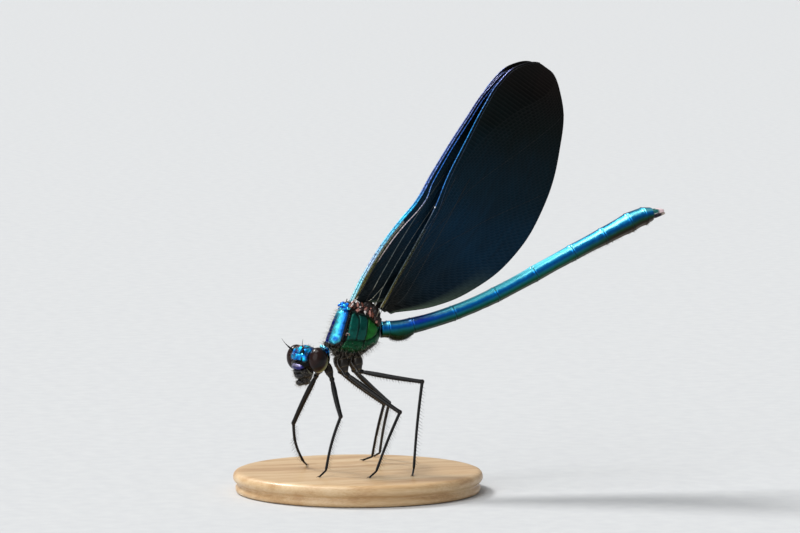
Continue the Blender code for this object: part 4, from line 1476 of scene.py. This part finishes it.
for name, wing in WINGS.items():
    for side, sign in (("left", -1), ("right", 1)):
        make_net(f"{name}_{side}", wing, sign, net_vein, dark_membrane, clear_membrane)

# %% [markdown]
# ## Main veins
# The strong veins stand out of the net as round rods of hard cuticle, whose gloss draws a thin line of
# light along each. The front edge of the forewing shines cyan up to the notch called the nodus and
# lilac beyond it, the vein behind is pale and then bright blue, and the other long veins are grey near
# the root and fade into the dark of the wing.

# %% Main veins
# Rods of each wing: the row of the net, the radii at root and tip, and colours along the wing.
RODS = {
    "fore": (
        (0, 0.125, 0.045, (
            (0.0, "#b4f2ff"), (0.06, "#8fe6ff"), (0.14, "#bcd6ff"), (0.24, "#6fd2ff"), (0.34, "#2bc4ff"),
            (0.40, "#25aef5"), (0.46, "#5f86d8"), (0.8, "#6f7fc0"), (1.0, "#4a3c3a"),
        )),
        (1, 0.065, 0.045, (
            (0.0, "#d8c8b8"), (0.12, "#8c7c70"), (0.24, "#c9b9c0"), (0.38, "#e0d4dc"), (0.45, "#7aa4e8"),
            (0.52, "#2f86f0"), (0.8, "#3a6fd0"), (1.0, "#3a3038"),
        )),
    ),
    "hind": (
        (0, 0.055, 0.055, (
            (0.0, "#9a9a8c"), (0.06, "#4c5a58"), (0.25, "#44525a"), (0.37, "#4c5e70"), (0.42, "#2f7fd4"),
            (0.7, "#2496e8"), (0.88, "#6a78b8"), (1.0, "#4a3c3a"),
        )),
        (1, 0.04, 0.03, (
            (0.0, "#3a3f36"), (0.1, "#10181a"), (0.4, "#0a2c4a"), (0.7, "#06243f"), (1.0, "#100c0e"),
        )),
    ),
}
# Two nearly straight veins run behind the front edge of each wing, and a short brace ties them near the
# root. They are places along and to the rear, with radii at both ends.
BRACES = {
    "fore": (
        (((0.1, 1.28), (0.66, 1.15), (5.2, 0.52), (9.85, -0.10), (17.5, -0.62)), 0.055, 0.022),
        (((0.7, 2.30), (1.55, 2.16), (4.6, 1.50), (10.74, 0.83), (18.0, 0.45)), 0.050, 0.020),
        (((0.6, 1.16), (1.6, 1.50), (2.94, 1.66), (3.6, 1.72)), 0.045, 0.04),
    ),
    "hind": (
        (((0.5, 0.20), (2.6, 0.30), (6.0, 0.05), (10.5, -0.45), (17.5, -1.30)), 0.035, 0.016),
        (((0.7, 0.60), (2.4, 1.25), (5.6, 1.25), (10.7, 0.80), (18.0, 0.20)), 0.032, 0.016),
    ),
}
BRACE_STEPS = 60
GREY_VEIN = {
    "fore": (
        (0.0, "#c4b8a4"), (0.05, "#8a8878"), (0.14, "#56605e"), (0.30, "#465258"), (0.44, "#16242c"),
        (0.6, "#050a0c"),
    ),
    "hind": ((0.0, "#3a3a30"), (0.06, "#121c1e"), (0.30, "#0a1a24"), (0.5, "#04101a"), (1.0, "#050505")),
}
FAN_VEIN = ((0.0, "#1c1e18"), (0.10, "#081014"), (0.30, "#041018"), (1.0, "#040404"))
FAN_ROWS = (13, 31)
FAN_RADII = (0.022, 0.010)
MARGIN_RADII = (0.035, 0.030)
# The rods run on from the root of the wing into the hinge, along, to the rear and outwards.
ROOT_REACH = (-1.15, 0.25, -0.05)
ROD_LIFT = 0.05
ROD_SIDES = 6
# The pale knob at the nodus: the row it sits on, how far along the wing, and its colour.
NODUS = {"fore": (1, 14.2, "#e8dce0"), "hind": (0, 12.9, "#dfe6ee")}
NODUS_SIZE = (0.13, 0.09, 0.09)


def colour_along(stops, share):
    """The colour at a share of the way through stops of (place, hex)."""
    places = [place for place, _ in stops]
    colours = np.array([srgb(code) for _, code in stops])
    return tuple(float(np.interp(share, places, colours[:, channel])) for channel in range(4))


def lay_rod(form, wing, points, radii, stops):
    """A rod through points, thinner to the tip and coloured by its place along the wing."""
    shares = [max(0.0, point.x) / wing["length"] for point in points]
    widths = [radii[0] + (radii[1] - radii[0]) * share for share in shares]
    for corner in add_tube(form, points, widths, ROD_SIDES):
        paint(form, [corner], colour_along(stops, corner.co.x / wing["length"]))


def add_rod(form, wing, row, radii, stops):
    """A round rod along one row of the net, up to where the row meets the rear edge."""
    plan = wing["plan"]
    is_leading = row <= 1
    met = plan["across"][row] > 0.999
    last = max(4, int(np.argmax(met))) if met.any() and not is_leading and row < WING_ROWS else WING_COLUMNS
    points = [wing_spot(plan, row, column) for column in range(0, last, 1 if is_leading else 2)]
    if is_leading:
        # The two leading rods run on into the hinge, and the second stands proud of the skin.
        points = [point + Vector((0.0, 0.0, ROD_LIFT * row)) for point in points]
        points.insert(0, points[0] + Vector(ROOT_REACH))
    lay_rod(form, wing, points, radii, stops)


def add_brace(form, wing, knots, radii, stops):
    """A rod along knots given as places along the wing and to the rear."""
    plan = wing["plan"]
    path = curve_through([(index, *knot) for index, knot in enumerate(knots)])
    points = []
    for step in range(BRACE_STEPS + 1):
        s, t = path(step / BRACE_STEPS * (len(knots) - 1))
        front = float(np.interp(s, plan["s"], plan["front"]))
        chord = float(np.interp(s, plan["s"], plan["chord"]))
        across = min(max((t - front) / chord, 0.0), 1.0)
        points.append(Vector((s, t, wing_relief(s, across) + 0.02)))
    lay_rod(form, wing, points, radii, stops)


main_vein, tree, shader, in_mm = start_material(
    "raised_vein_cuticle", Metallic=0.7, Coat_Weight=0.4, Coat_Roughness=0.12, Specular_IOR_Level=0.5
)
own_tint = add(tree, "Attribute", attribute_name="tint")
grain = add(tree, "TexNoise", {"Vector": in_mm, "Scale": 5.0, "Detail": 3.0})
# Painted glints: noise brightens and darkens the tint in short dashes along the rods.
glints = add(
    tree, "MapRange",
    {"Value": grain, "From Min": 0.34, "From Max": 0.66, "To Min": 0.35, "To Max": 1.5},
)
lit = add(tree, "VectorMath", {0: own_tint, "Scale": glints}, operation="SCALE")
join(tree, shader, {"Base Color": lit})
rough = add(tree, "MapRange", {"Value": grain, "To Min": 0.2, "To Max": 0.42})
join(tree, shader, {"Roughness": rough})

for name, wing in WINGS.items():
    for side, sign in (("left", -1), ("right", 1)):
        form = new_form()
        for row, thick, thin, stops in RODS[name]:
            add_rod(form, wing, row, (thick, thin), stops)
        for knots, thick, thin in BRACES[name]:
            add_brace(form, wing, knots, (thick, thin), GREY_VEIN[name])
        for row in FAN_ROWS:
            add_rod(form, wing, row, FAN_RADII, FAN_VEIN)
        add_rod(form, wing, WING_ROWS, MARGIN_RADII, FAN_VEIN)
        row, s, code = NODUS[name]
        column = int(np.searchsorted(wing["plan"]["s"], s))
        knob = add_lump(form, WORLD, wing_spot(wing["plan"], row, column), NODUS_SIZE, level=2)
        paint(form, knob, srgb(code))
        bmesh.ops.transform(form, matrix=wing_frame(wing, sign), verts=form.verts)
        finish(form, f"wing_{name}_{side}_veins", [main_vein], "wing_membrane")

# %% [markdown]
# ## Legs
# Six long thin legs carry the insect. Each has a short stout coxa, a small ring, a keeled femur, a knee
# that is a little thicker, a thinner tibia and a foot of three small joints with two hooked claws. One
# function makes a leg from its five joints as one skin of overlapping tubes.

# %% Leg forms
BASE_TOP = 2.4
LEG_JOINTS = {
    "front_left": ((-3.85, -0.50, 14.02), (-3.40, -1.20, 12.80), (-3.08, -3.40, 8.90), (-5.00, -4.05, 3.35),
                   (-6.05, -5.00, 2.60)),
    "front_right": ((-3.95, 0.50, 14.02), (-4.50, 1.25, 13.00), (-6.51, 3.40, 7.50), (-5.15, 4.00, 3.35),
                    (-4.45, 5.10, 2.60)),
    "mid_left": ((-2.10, -0.62, 14.75), (-1.75, -1.15, 13.40), (3.31, -5.00, 9.32), (0.15, -6.30, 3.40),
                 (-0.95, -7.25, 2.60)),
    "mid_right": ((-2.10, 0.62, 14.75), (-1.75, 1.15, 13.40), (4.52, 4.50, 9.17), (3.50, 5.75, 3.40),
                  (2.75, 7.00, 2.60)),
    "hind_left": ((-0.45, -0.62, 14.80), (-0.15, -1.15, 13.60), (6.08, -4.50, 12.58), (4.65, -5.85, 3.40),
                  (4.05, -7.20, 2.60)),
    "hind_right": ((-0.45, 0.62, 14.80), (-0.15, 1.15, 13.50), (5.40, 5.40, 9.13), (5.30, 8.60, 3.40),
                   (5.05, 10.00, 2.60)),
}
LEG_BOW = {"front_right": 0.35, "front_left": 0.20}
COXA_TINT = srgb("#130d08")
COXA_RIM = srgb("#4c412c")
LEG_TINT = srgb("#010203")
KNEE_TINT = srgb("#120c08")
# Radius along each part, as shares of the way and mm.
FEMUR_PROFILE = ((0.0, 0.17), (0.06, 0.25), (0.25, 0.30), (0.7, 0.27), (0.92, 0.24), (1.0, 0.25))
TIBIA_PROFILE = ((0.0, 0.21), (0.05, 0.17), (0.3, 0.165), (0.8, 0.145), (0.97, 0.155), (1.0, 0.11))
FOOT_JOINTS = (
    (0.0, 0.085), (0.03, 0.11), (0.24, 0.12), (0.27, 0.08), (0.30, 0.11), (0.56, 0.12), (0.59, 0.075),
    (0.62, 0.10), (0.92, 0.115), (1.0, 0.06),
)
COXA_PROFILE = (
    (0.0, 0.42), (0.15, 0.58), (0.35, 0.66), (0.55, 0.60), (0.75, 0.42), (0.9, 0.30), (1.0, 0.22),
)
# The coxa's two pale rims, as shares of its length and radii. The front legs are slimmer there.
COXA_RIMS = ((0.20, 0.615), (0.62, 0.56))
FRONT_COXA_SHARE = 0.78
LEG_SIDES = 14


def bowed(start, end, bow, steps):
    """Points from start to end, bowed away from the body in the middle."""
    side = Vector((-(end - start).z, 0.0, (end - start).x)).normalized()
    if side.x > 0:
        side = -side
    shares = [step / steps for step in range(steps + 1)]
    return [start.lerp(end, share) + side * bow * math.sin(math.pi * share) for share in shares]


def add_limb(form, points, profile, colour, sides=LEG_SIDES, flutes=4, flute_depth=0.06):
    """A tapering tube along points, whose radius is read from profile."""
    places, widths = zip(*profile)
    radii = [float(np.interp(step / (len(points) - 1), places, widths)) for step in range(len(points))]
    paint(form, add_tube(form, points, radii, sides, flutes, flute_depth), colour)


def leg_path(name):
    """The joints of a leg as vectors, with the toe lowered until it meets the base."""
    hip, trochanter, knee, heel, toe = [Vector(point) for point in LEG_JOINTS[name]]
    toe.z = BASE_TOP + 0.09
    heel.z = BASE_TOP + 0.62
    return hip, trochanter, knee, heel, toe


def add_claws(form, heel, toe):
    """Two hooked claws at the end of the foot, whose points rest on the base."""
    along = (toe - heel).normalized()
    flat = Vector((along.x, along.y, 0.0)).normalized()
    for side in (-1, 1):
        out = Vector((-flat.y, flat.x, 0.0)) * side
        line = [toe - flat * 0.05, toe + flat * 0.10 + out * 0.07 + Vector((0, 0, 0.06)),
                toe + flat * 0.24 + out * 0.12 + Vector((0, 0, 0.04)),
                toe + flat * 0.34 + out * 0.13 - Vector((0, 0, 0.06))]
        add_limb(form, line, ((0.0, 0.05), (0.5, 0.035), (1.0, 0.01)), KNEE_TINT, sides=8, flutes=0)


def make_leg(name):
    """One leg as a single skin."""
    hip, trochanter, knee, heel, toe = leg_path(name)
    form = new_form()
    thick = FRONT_COXA_SHARE if name.startswith("front") else 1.0
    outward = Vector((0.0, math.copysign(1.0, trochanter.y), 0.0))
    body = hip + Vector((0.0, 0.0, 0.55)) - outward * 0.1
    coxa = [body.lerp(trochanter, step / 12) for step in range(13)]
    add_limb(form, coxa, [(place, width * thick) for place, width in COXA_PROFILE], COXA_TINT, 24, 0, 0.0)
    for share, width in COXA_RIMS:
        rim = [body.lerp(trochanter, share + shift) for shift in (-0.025, 0.0, 0.025)]
        wide = width * thick
        rim_profile = ((0.0, wide - 0.03), (0.5, wide + 0.02), (1.0, wide - 0.03))
        add_limb(form, rim, rim_profile, COXA_RIM, 24, 0, 0.0)
    ring = [body.lerp(trochanter, 0.9), trochanter, trochanter.lerp(knee, 0.06)]
    add_limb(form, ring, ((0.0, 0.26), (0.5, 0.30), (1.0, 0.22)), KNEE_TINT)
    add_limb(form, bowed(trochanter.lerp(knee, 0.035), knee, 0.06, 30), FEMUR_PROFILE, LEG_TINT)
    joint = add_lump(form, Matrix.Translation(knee), (0, 0, 0), [0.25, 0.25, 0.27], level=3)
    paint(form, joint, KNEE_TINT)
    shin = bowed(knee, heel, LEG_BOW.get(name, 0.10), 34)
    add_limb(form, shin, TIBIA_PROFILE, LEG_TINT)
    add_limb(form, [heel.lerp(toe, step / 30) for step in range(31)], FOOT_JOINTS, LEG_TINT, 12, 0, 0.0)
    add_claws(form, heel, toe)
    nodes = [f"leg_{name}_{part}" for part in ("coxa", "femur", "tibia", "tarsus")]
    finish(form, f"leg_{name}_skin", [black_cuticle], "black_cuticle", *nodes)


for name in LEG_JOINTS:
    make_leg(name)

# %% [markdown]
# ## Bristles
# Femur and tibia carry two rows of stiff bristles like the teeth of a comb. A bristle is solid chitin,
# hard and smooth, so a black one still shows a thin bright line. Each is a slender three-sided cone of
# real mesh. Its map, OFBake, holds a small patch at the root's place on an unwrap of the skin, so a
# picture of the coat keeps the colours where they grow.

# %% Bristle material
BAKE_PATCH = 0.0015

bristle_chitin, tree, shader, in_mm = start_material(
    "stiff_chitin_bristle", Roughness=0.38, IOR=1.55, Specular_IOR_Level=0.6
)
own_tint = add(tree, "Attribute", attribute_name="tint")
mottle = add(tree, "TexNoise", {"Vector": in_mm, "Scale": 2.0, "Detail": 2.0})
mottled = add(tree, "MapRange", {"Value": mottle, "To Min": 0.6, "To Max": 1.4})
tinted = add(tree, "VectorMath", {0: own_tint, "Scale": mottled}, operation="SCALE")
join(tree, shader, {"Base Color": tinted})
print("bristle material:", bristle_chitin.name)


# %% Bristle helpers
def add_bristle(form, root, direction, length, radius, colour, home):
    """One bristle: a cone of three sides, mapped to a small patch at home on the skin's unwrap."""
    turn = direction.to_track_quat("Z", "Y").to_matrix().to_4x4()
    place = Matrix.Translation(root + direction * (length / 2)) @ turn
    made = bmesh.ops.create_cone(
        form, cap_ends=True, segments=3, radius1=radius, radius2=0.0, depth=length, matrix=place
    )["verts"]
    paint(form, made, colour)
    bake = form.loops.layers.uv["OFBake"]
    for corner in made:
        local = turn.to_3x3().inverted() @ (corner.co - root)
        for loop in corner.link_loops:
            loop[bake].uv = (
                home[0] + BAKE_PATCH * max(-1, min(1, local.x / radius)),
                home[1] + BAKE_PATCH * max(-1, min(1, local.y / radius)),
            )


def new_coat():
    """An empty form for bristles, with its bake map."""
    form = new_form()
    form.loops.layers.uv.new("OFBake")
    return form


print("a bristle's patch on the map is", 2 * BAKE_PATCH, "wide")

# %% Leg bristles
BRISTLE_BLACK = srgb("#0b0907")
BRISTLE_PALE = srgb("#b9ad97")
FEMUR_BRISTLES = 20
TIBIA_BRISTLES = 24
FEMUR_BRISTLE = 0.55
TIBIA_BRISTLE = 0.78
BRISTLE_RADIUS = 0.028


def add_comb(form, points, profile, count, length, spread, colour, band):
    """Two rows of bristles under a limb, leaning to the foot. band is 0 or 1, its half of the map."""
    places, widths = zip(*profile)
    frames = frames_along(points)
    for number in range(count):
        share = 0.06 + 0.88 * number / (count - 1)
        step = round(share * (len(points) - 1))
        point, _, _, along = frames[step]
        bow = point - points[0].lerp(points[-1], step / (len(points) - 1))
        point = points[0].lerp(points[-1], share) + bow
        down = Vector((0.15, 0.0, -1.0))
        down = (down - along * down.dot(along)).normalized()
        side = along.cross(down)
        for sign in (-1, 1):
            swing = math.radians(spread + 10 * random.uniform(-1, 1)) * sign
            out = down * math.cos(swing) + side * math.sin(swing)
            root = point + out * float(np.interp(share, places, widths)) * 0.8
            lean = (out + along * random.uniform(0.45, 0.75)).normalized()
            size = length * random.uniform(0.8, 1.15) * (0.6 + 0.4 * math.sin(math.pi * share))
            home_v = 0.25 + 0.5 * ((sign + 1) / 2) + 0.04 * random.uniform(-1, 1)
            home = (0.02 + 0.96 * (band + share) / 2, home_v)
            add_bristle(form, root, lean, size, BRISTLE_RADIUS, colour, home)


random.seed(6)
for name in LEG_JOINTS:
    hip, trochanter, knee, heel, toe = leg_path(name)
    form = new_coat()
    shin_colour = BRISTLE_PALE if name == "mid_right" else BRISTLE_BLACK
    thigh = bowed(trochanter, knee, 0.06, 30)
    shin = bowed(knee, heel, LEG_BOW.get(name, 0.10), 34)
    add_comb(form, thigh, FEMUR_PROFILE, FEMUR_BRISTLES, FEMUR_BRISTLE, 28, BRISTLE_BLACK, 0)
    add_comb(form, shin, TIBIA_PROFILE, TIBIA_BRISTLES, TIBIA_BRISTLE, 40, shin_colour, 1)
    finish(form, f"leg_{name}_bristles", [bristle_chitin], "black_cuticle")

# %% [markdown]
# ## Fine hair
# Short upright hairs stand on the face, on the front and underside of the thorax and under the second
# ring and the tail of the abdomen. They are far thinner than a pixel and only soften the outline. Each
# is the same slender cone as the leg bristles, rooted at a seeded random place on its own surface, so
# the coat is the same each time the lesson runs.

# %% Hair roots
def surface_roots(place, count, u_range, v_range):
    """Random places on a surface place(u, v): point, outward direction and home on the unwrap."""
    roots = []
    for _ in range(count):
        u, v = random.uniform(*u_range), random.uniform(*v_range)
        point = place(u % 1.0, v)[0]
        span = place((u + 0.004) % 1.0, v)[0] - point
        climb = place(u % 1.0, min(v + 0.008, 1.0))[0] - point
        outward = span.cross(climb)
        if outward.length < 1e-9:
            continue
        roots.append((point, outward.normalized(), (0.01 + 0.98 * (u % 1.0), 0.01 + 0.98 * v)))
    return roots


def lump_roots(centre, size, matrix, count, zone):
    """Random places on an egg, inside the zone that its test accepts."""
    roots = []
    while len(roots) < count:
        way = Vector((random.gauss(0, 1), random.gauss(0, 1), random.gauss(0, 1))).normalized()
        if not zone(way):
            continue
        point = matrix @ (Vector(centre) + Vector(a * b for a, b in zip(way, size)))
        outward = (matrix.to_3x3() @ Vector(a / b for a, b in zip(way, size))).normalized()
        home = (0.5 + math.atan2(way.y, way.x) / math.tau * 0.98, 0.5 + math.asin(way.z) / math.pi * 0.98)
        roots.append((point, outward, home))
    return roots


def add_hairs(form, roots, length, radius, lean, shades):
    """A hair on each root, leaning by a fixed vector, in one of two shades."""
    for point, outward, home in roots:
        stray = Vector((random.uniform(-1, 1), random.uniform(-1, 1), random.uniform(-1, 1))) * 0.25
        direction = (outward + Vector(lean) + stray).normalized()
        size = length * random.uniform(0.6, 1.2)
        colour = between(shades[0], shades[1], random.random())
        add_bristle(form, point - direction * 0.05, direction, size, radius, colour, home)


def rows_before(goal):
    """The share of the abdomen's rows that lies before a place given in rings."""
    nearest = min(row_places, key=lambda row: abs(row - goal))
    return row_places.index(nearest) / (len(row_places) - 1)


print("half of the abdomen's rows lie before ring", round(row_places[len(row_places) // 2], 2))

# %% Hair coats
HAIR_DARK = srgb("#1c1712")
HAIR_PALE = srgb("#a79f8e")
HAIR_RADIUS = 0.014
# Hairs beneath the second ring, beneath the tail and all along: how many, from where to where, how long.
ABDOMEN_COATS = (
    (260, (rows_before(1.05), rows_before(1.98)), 0.34), (300, (rows_before(6.2), rows_before(9.9)), 0.30),
    (380, (0.02, 0.98), 0.20),
)

random.seed(11)
form = new_coat()
# The grid of the thorax starts at its rear, so 0.5 is the middle of the front.
inward = -1 if surface_roots(thorax_place, 1, (0.5, 0.5), (0.5, 0.5))[0][1].x > 0 else 1
front = surface_roots(thorax_place, 420, (0.30, 0.70), (0.02, 0.95))
below = surface_roots(thorax_place, 620, (0.0, 1.0), (0.02, 0.30))
for roots, length in ((front, 0.75), (below, 0.80)):
    turned = [(point, outward * inward, home) for point, outward, home in roots]
    add_hairs(form, turned, length, HAIR_RADIUS, (-0.15, 0.0, -0.10), (HAIR_DARK, HAIR_PALE))
finish(form, "thorax_hair", [bristle_chitin], "black_cuticle")

form = new_coat()
for centre, size, _, _ in MOUTH_PLATES[1:]:
    roots = lump_roots(centre, size, HEAD, 70, lambda way: way.x > -0.2 and way.z < 0.5)
    add_hairs(form, roots, 0.48, HAIR_RADIUS, (0.0, 0.0, -0.3), (HAIR_DARK, HAIR_PALE))
crown = (CAPSULE_FORWARD, 0, 0)
roots = lump_roots(crown, CAPSULE_SIZE, HEAD, 260, lambda way: abs(way.y) < 0.85 and way.z > -0.1)
add_hairs(form, roots, 0.42, HAIR_RADIUS * 0.8, (0.0, 0.0, 0.2), (HAIR_DARK, HAIR_PALE))
finish(form, "head_hair", [bristle_chitin], "black_cuticle")

form = new_coat()
for count, (low, high), length in ABDOMEN_COATS:
    roots = []
    for point, outward, home in surface_roots(abdomen_place, count, (0.36, 0.64), (low, high - 0.012)):
        middle = abdomen_at(row_places[round((home[1] - 0.01) / 0.98 * (len(row_places) - 1))])[0]
        outward = outward if outward.dot(point - middle) > 0 else -outward
        roots.append((point, outward, home))
    add_hairs(form, roots, length, HAIR_RADIUS, (0.35, 0.0, 0.0), (HAIR_DARK, HAIR_DARK))
finish(form, "abdomen_hair", [bristle_chitin], "black_cuticle")

# %% [markdown]
# ## Stand
# The insect stands on a low turned disc of maple, which belongs to the stand and not to the animal. The
# profile has a small bead above a shallow cove, and it is spun round once. The wood figure is long bent
# bands cut along the grain with fine fibres between them, and a thin satin lacquer over it gives a
# broad soft reflection.

# %% Stand
# Radius and height of the turned profile, from the middle of the underside to the middle of the top.
BASE_PROFILE = (
    (0.0, 0.0), (13.30, 0.0), (13.62, 0.10), (13.72, 0.32), (13.70, 0.62), (13.52, 0.80), (13.46, 0.98),
    (13.56, 1.12), (13.84, 1.28), (13.97, 1.52), (13.98, 1.80), (13.90, 2.08), (13.72, 2.28), (13.42, 2.385),
    (12.90, 2.40), (0.0, 2.40),
)
PROFILE_STEP = 1.2
SPIN_STEPS = 180

form = new_form()
first = form.verts.new((BASE_PROFILE[0][0], 0.0, BASE_PROFILE[0][1]))
line = [first]
for start, end in zip(BASE_PROFILE[:-1], BASE_PROFILE[1:]):
    span = math.dist(start, end)
    pieces = max(1, round(span / PROFILE_STEP))
    for step in range(1, pieces + 1):
        share = step / pieces
        spot = (start[0] + (end[0] - start[0]) * share, 0.0, start[1] + (end[1] - start[1]) * share)
        line.append(form.verts.new(spot))
edges = [form.edges.new(pair) for pair in zip(line[:-1], line[1:])]
bmesh.ops.spin(
    form, geom=line + edges, cent=ORIGIN, axis=(0, 0, 1), angle=math.tau, steps=SPIN_STEPS,
    use_merge=True,
)
bmesh.ops.remove_doubles(form, verts=form.verts, dist=MERGE)

maple, tree, shader, in_mm = start_material(
    "turned_maple_satin_lacquer", IOR=1.5, Coat_Weight=0.35, Coat_Roughness=0.22
)
bent = add(tree, "TexNoise", {"Vector": in_mm, "Scale": 0.05, "Detail": 2.0})
bend = add(tree, "VectorMath", {0: bent.outputs["Color"], "Scale": 5.0}, operation="SCALE")
warped = add(tree, "VectorMath", {0: in_mm, 1: bend}, operation="ADD")
along_grain = add(tree, "Mapping", {"Vector": warped, "Scale": (0.03, 0.42, 0.9)})
bands = add(tree, "TexNoise", {"Vector": along_grain, "Scale": 1.0, "Detail": 4.0, "Roughness": 0.6})
fibres_at = add(tree, "Mapping", {"Vector": in_mm, "Scale": (0.5, 8.0, 8.0)})
fibres = add(tree, "TexNoise", {"Vector": fibres_at, "Scale": 1.0, "Detail": 3.0})
figure = add(tree, "Math", {0: fibres, 1: 0.35, 2: bands}, operation="MULTIPLY_ADD")
wood = add(
    tree, "ValToRGB", {"Fac": figure},
    stops=((0.40, "#a37c52"), (0.58, "#c09a6c"), (0.72, "#cfae82"), (0.90, "#d9bd94")),
)
join(tree, shader, {"Base Color": wood})
sheen = add(tree, "MapRange", {"Value": fibres, "To Min": 0.42, "To Max": 0.58})
join(tree, shader, {"Roughness": sheen})
bump = add(tree, "Bump", {"Height": fibres, "Strength": 0.15, "Distance": 0.03 * MM})
join(tree, shader, {"Normal": bump})
finish(form, "stand_disc", [maple], "base_wood", "stand_base")
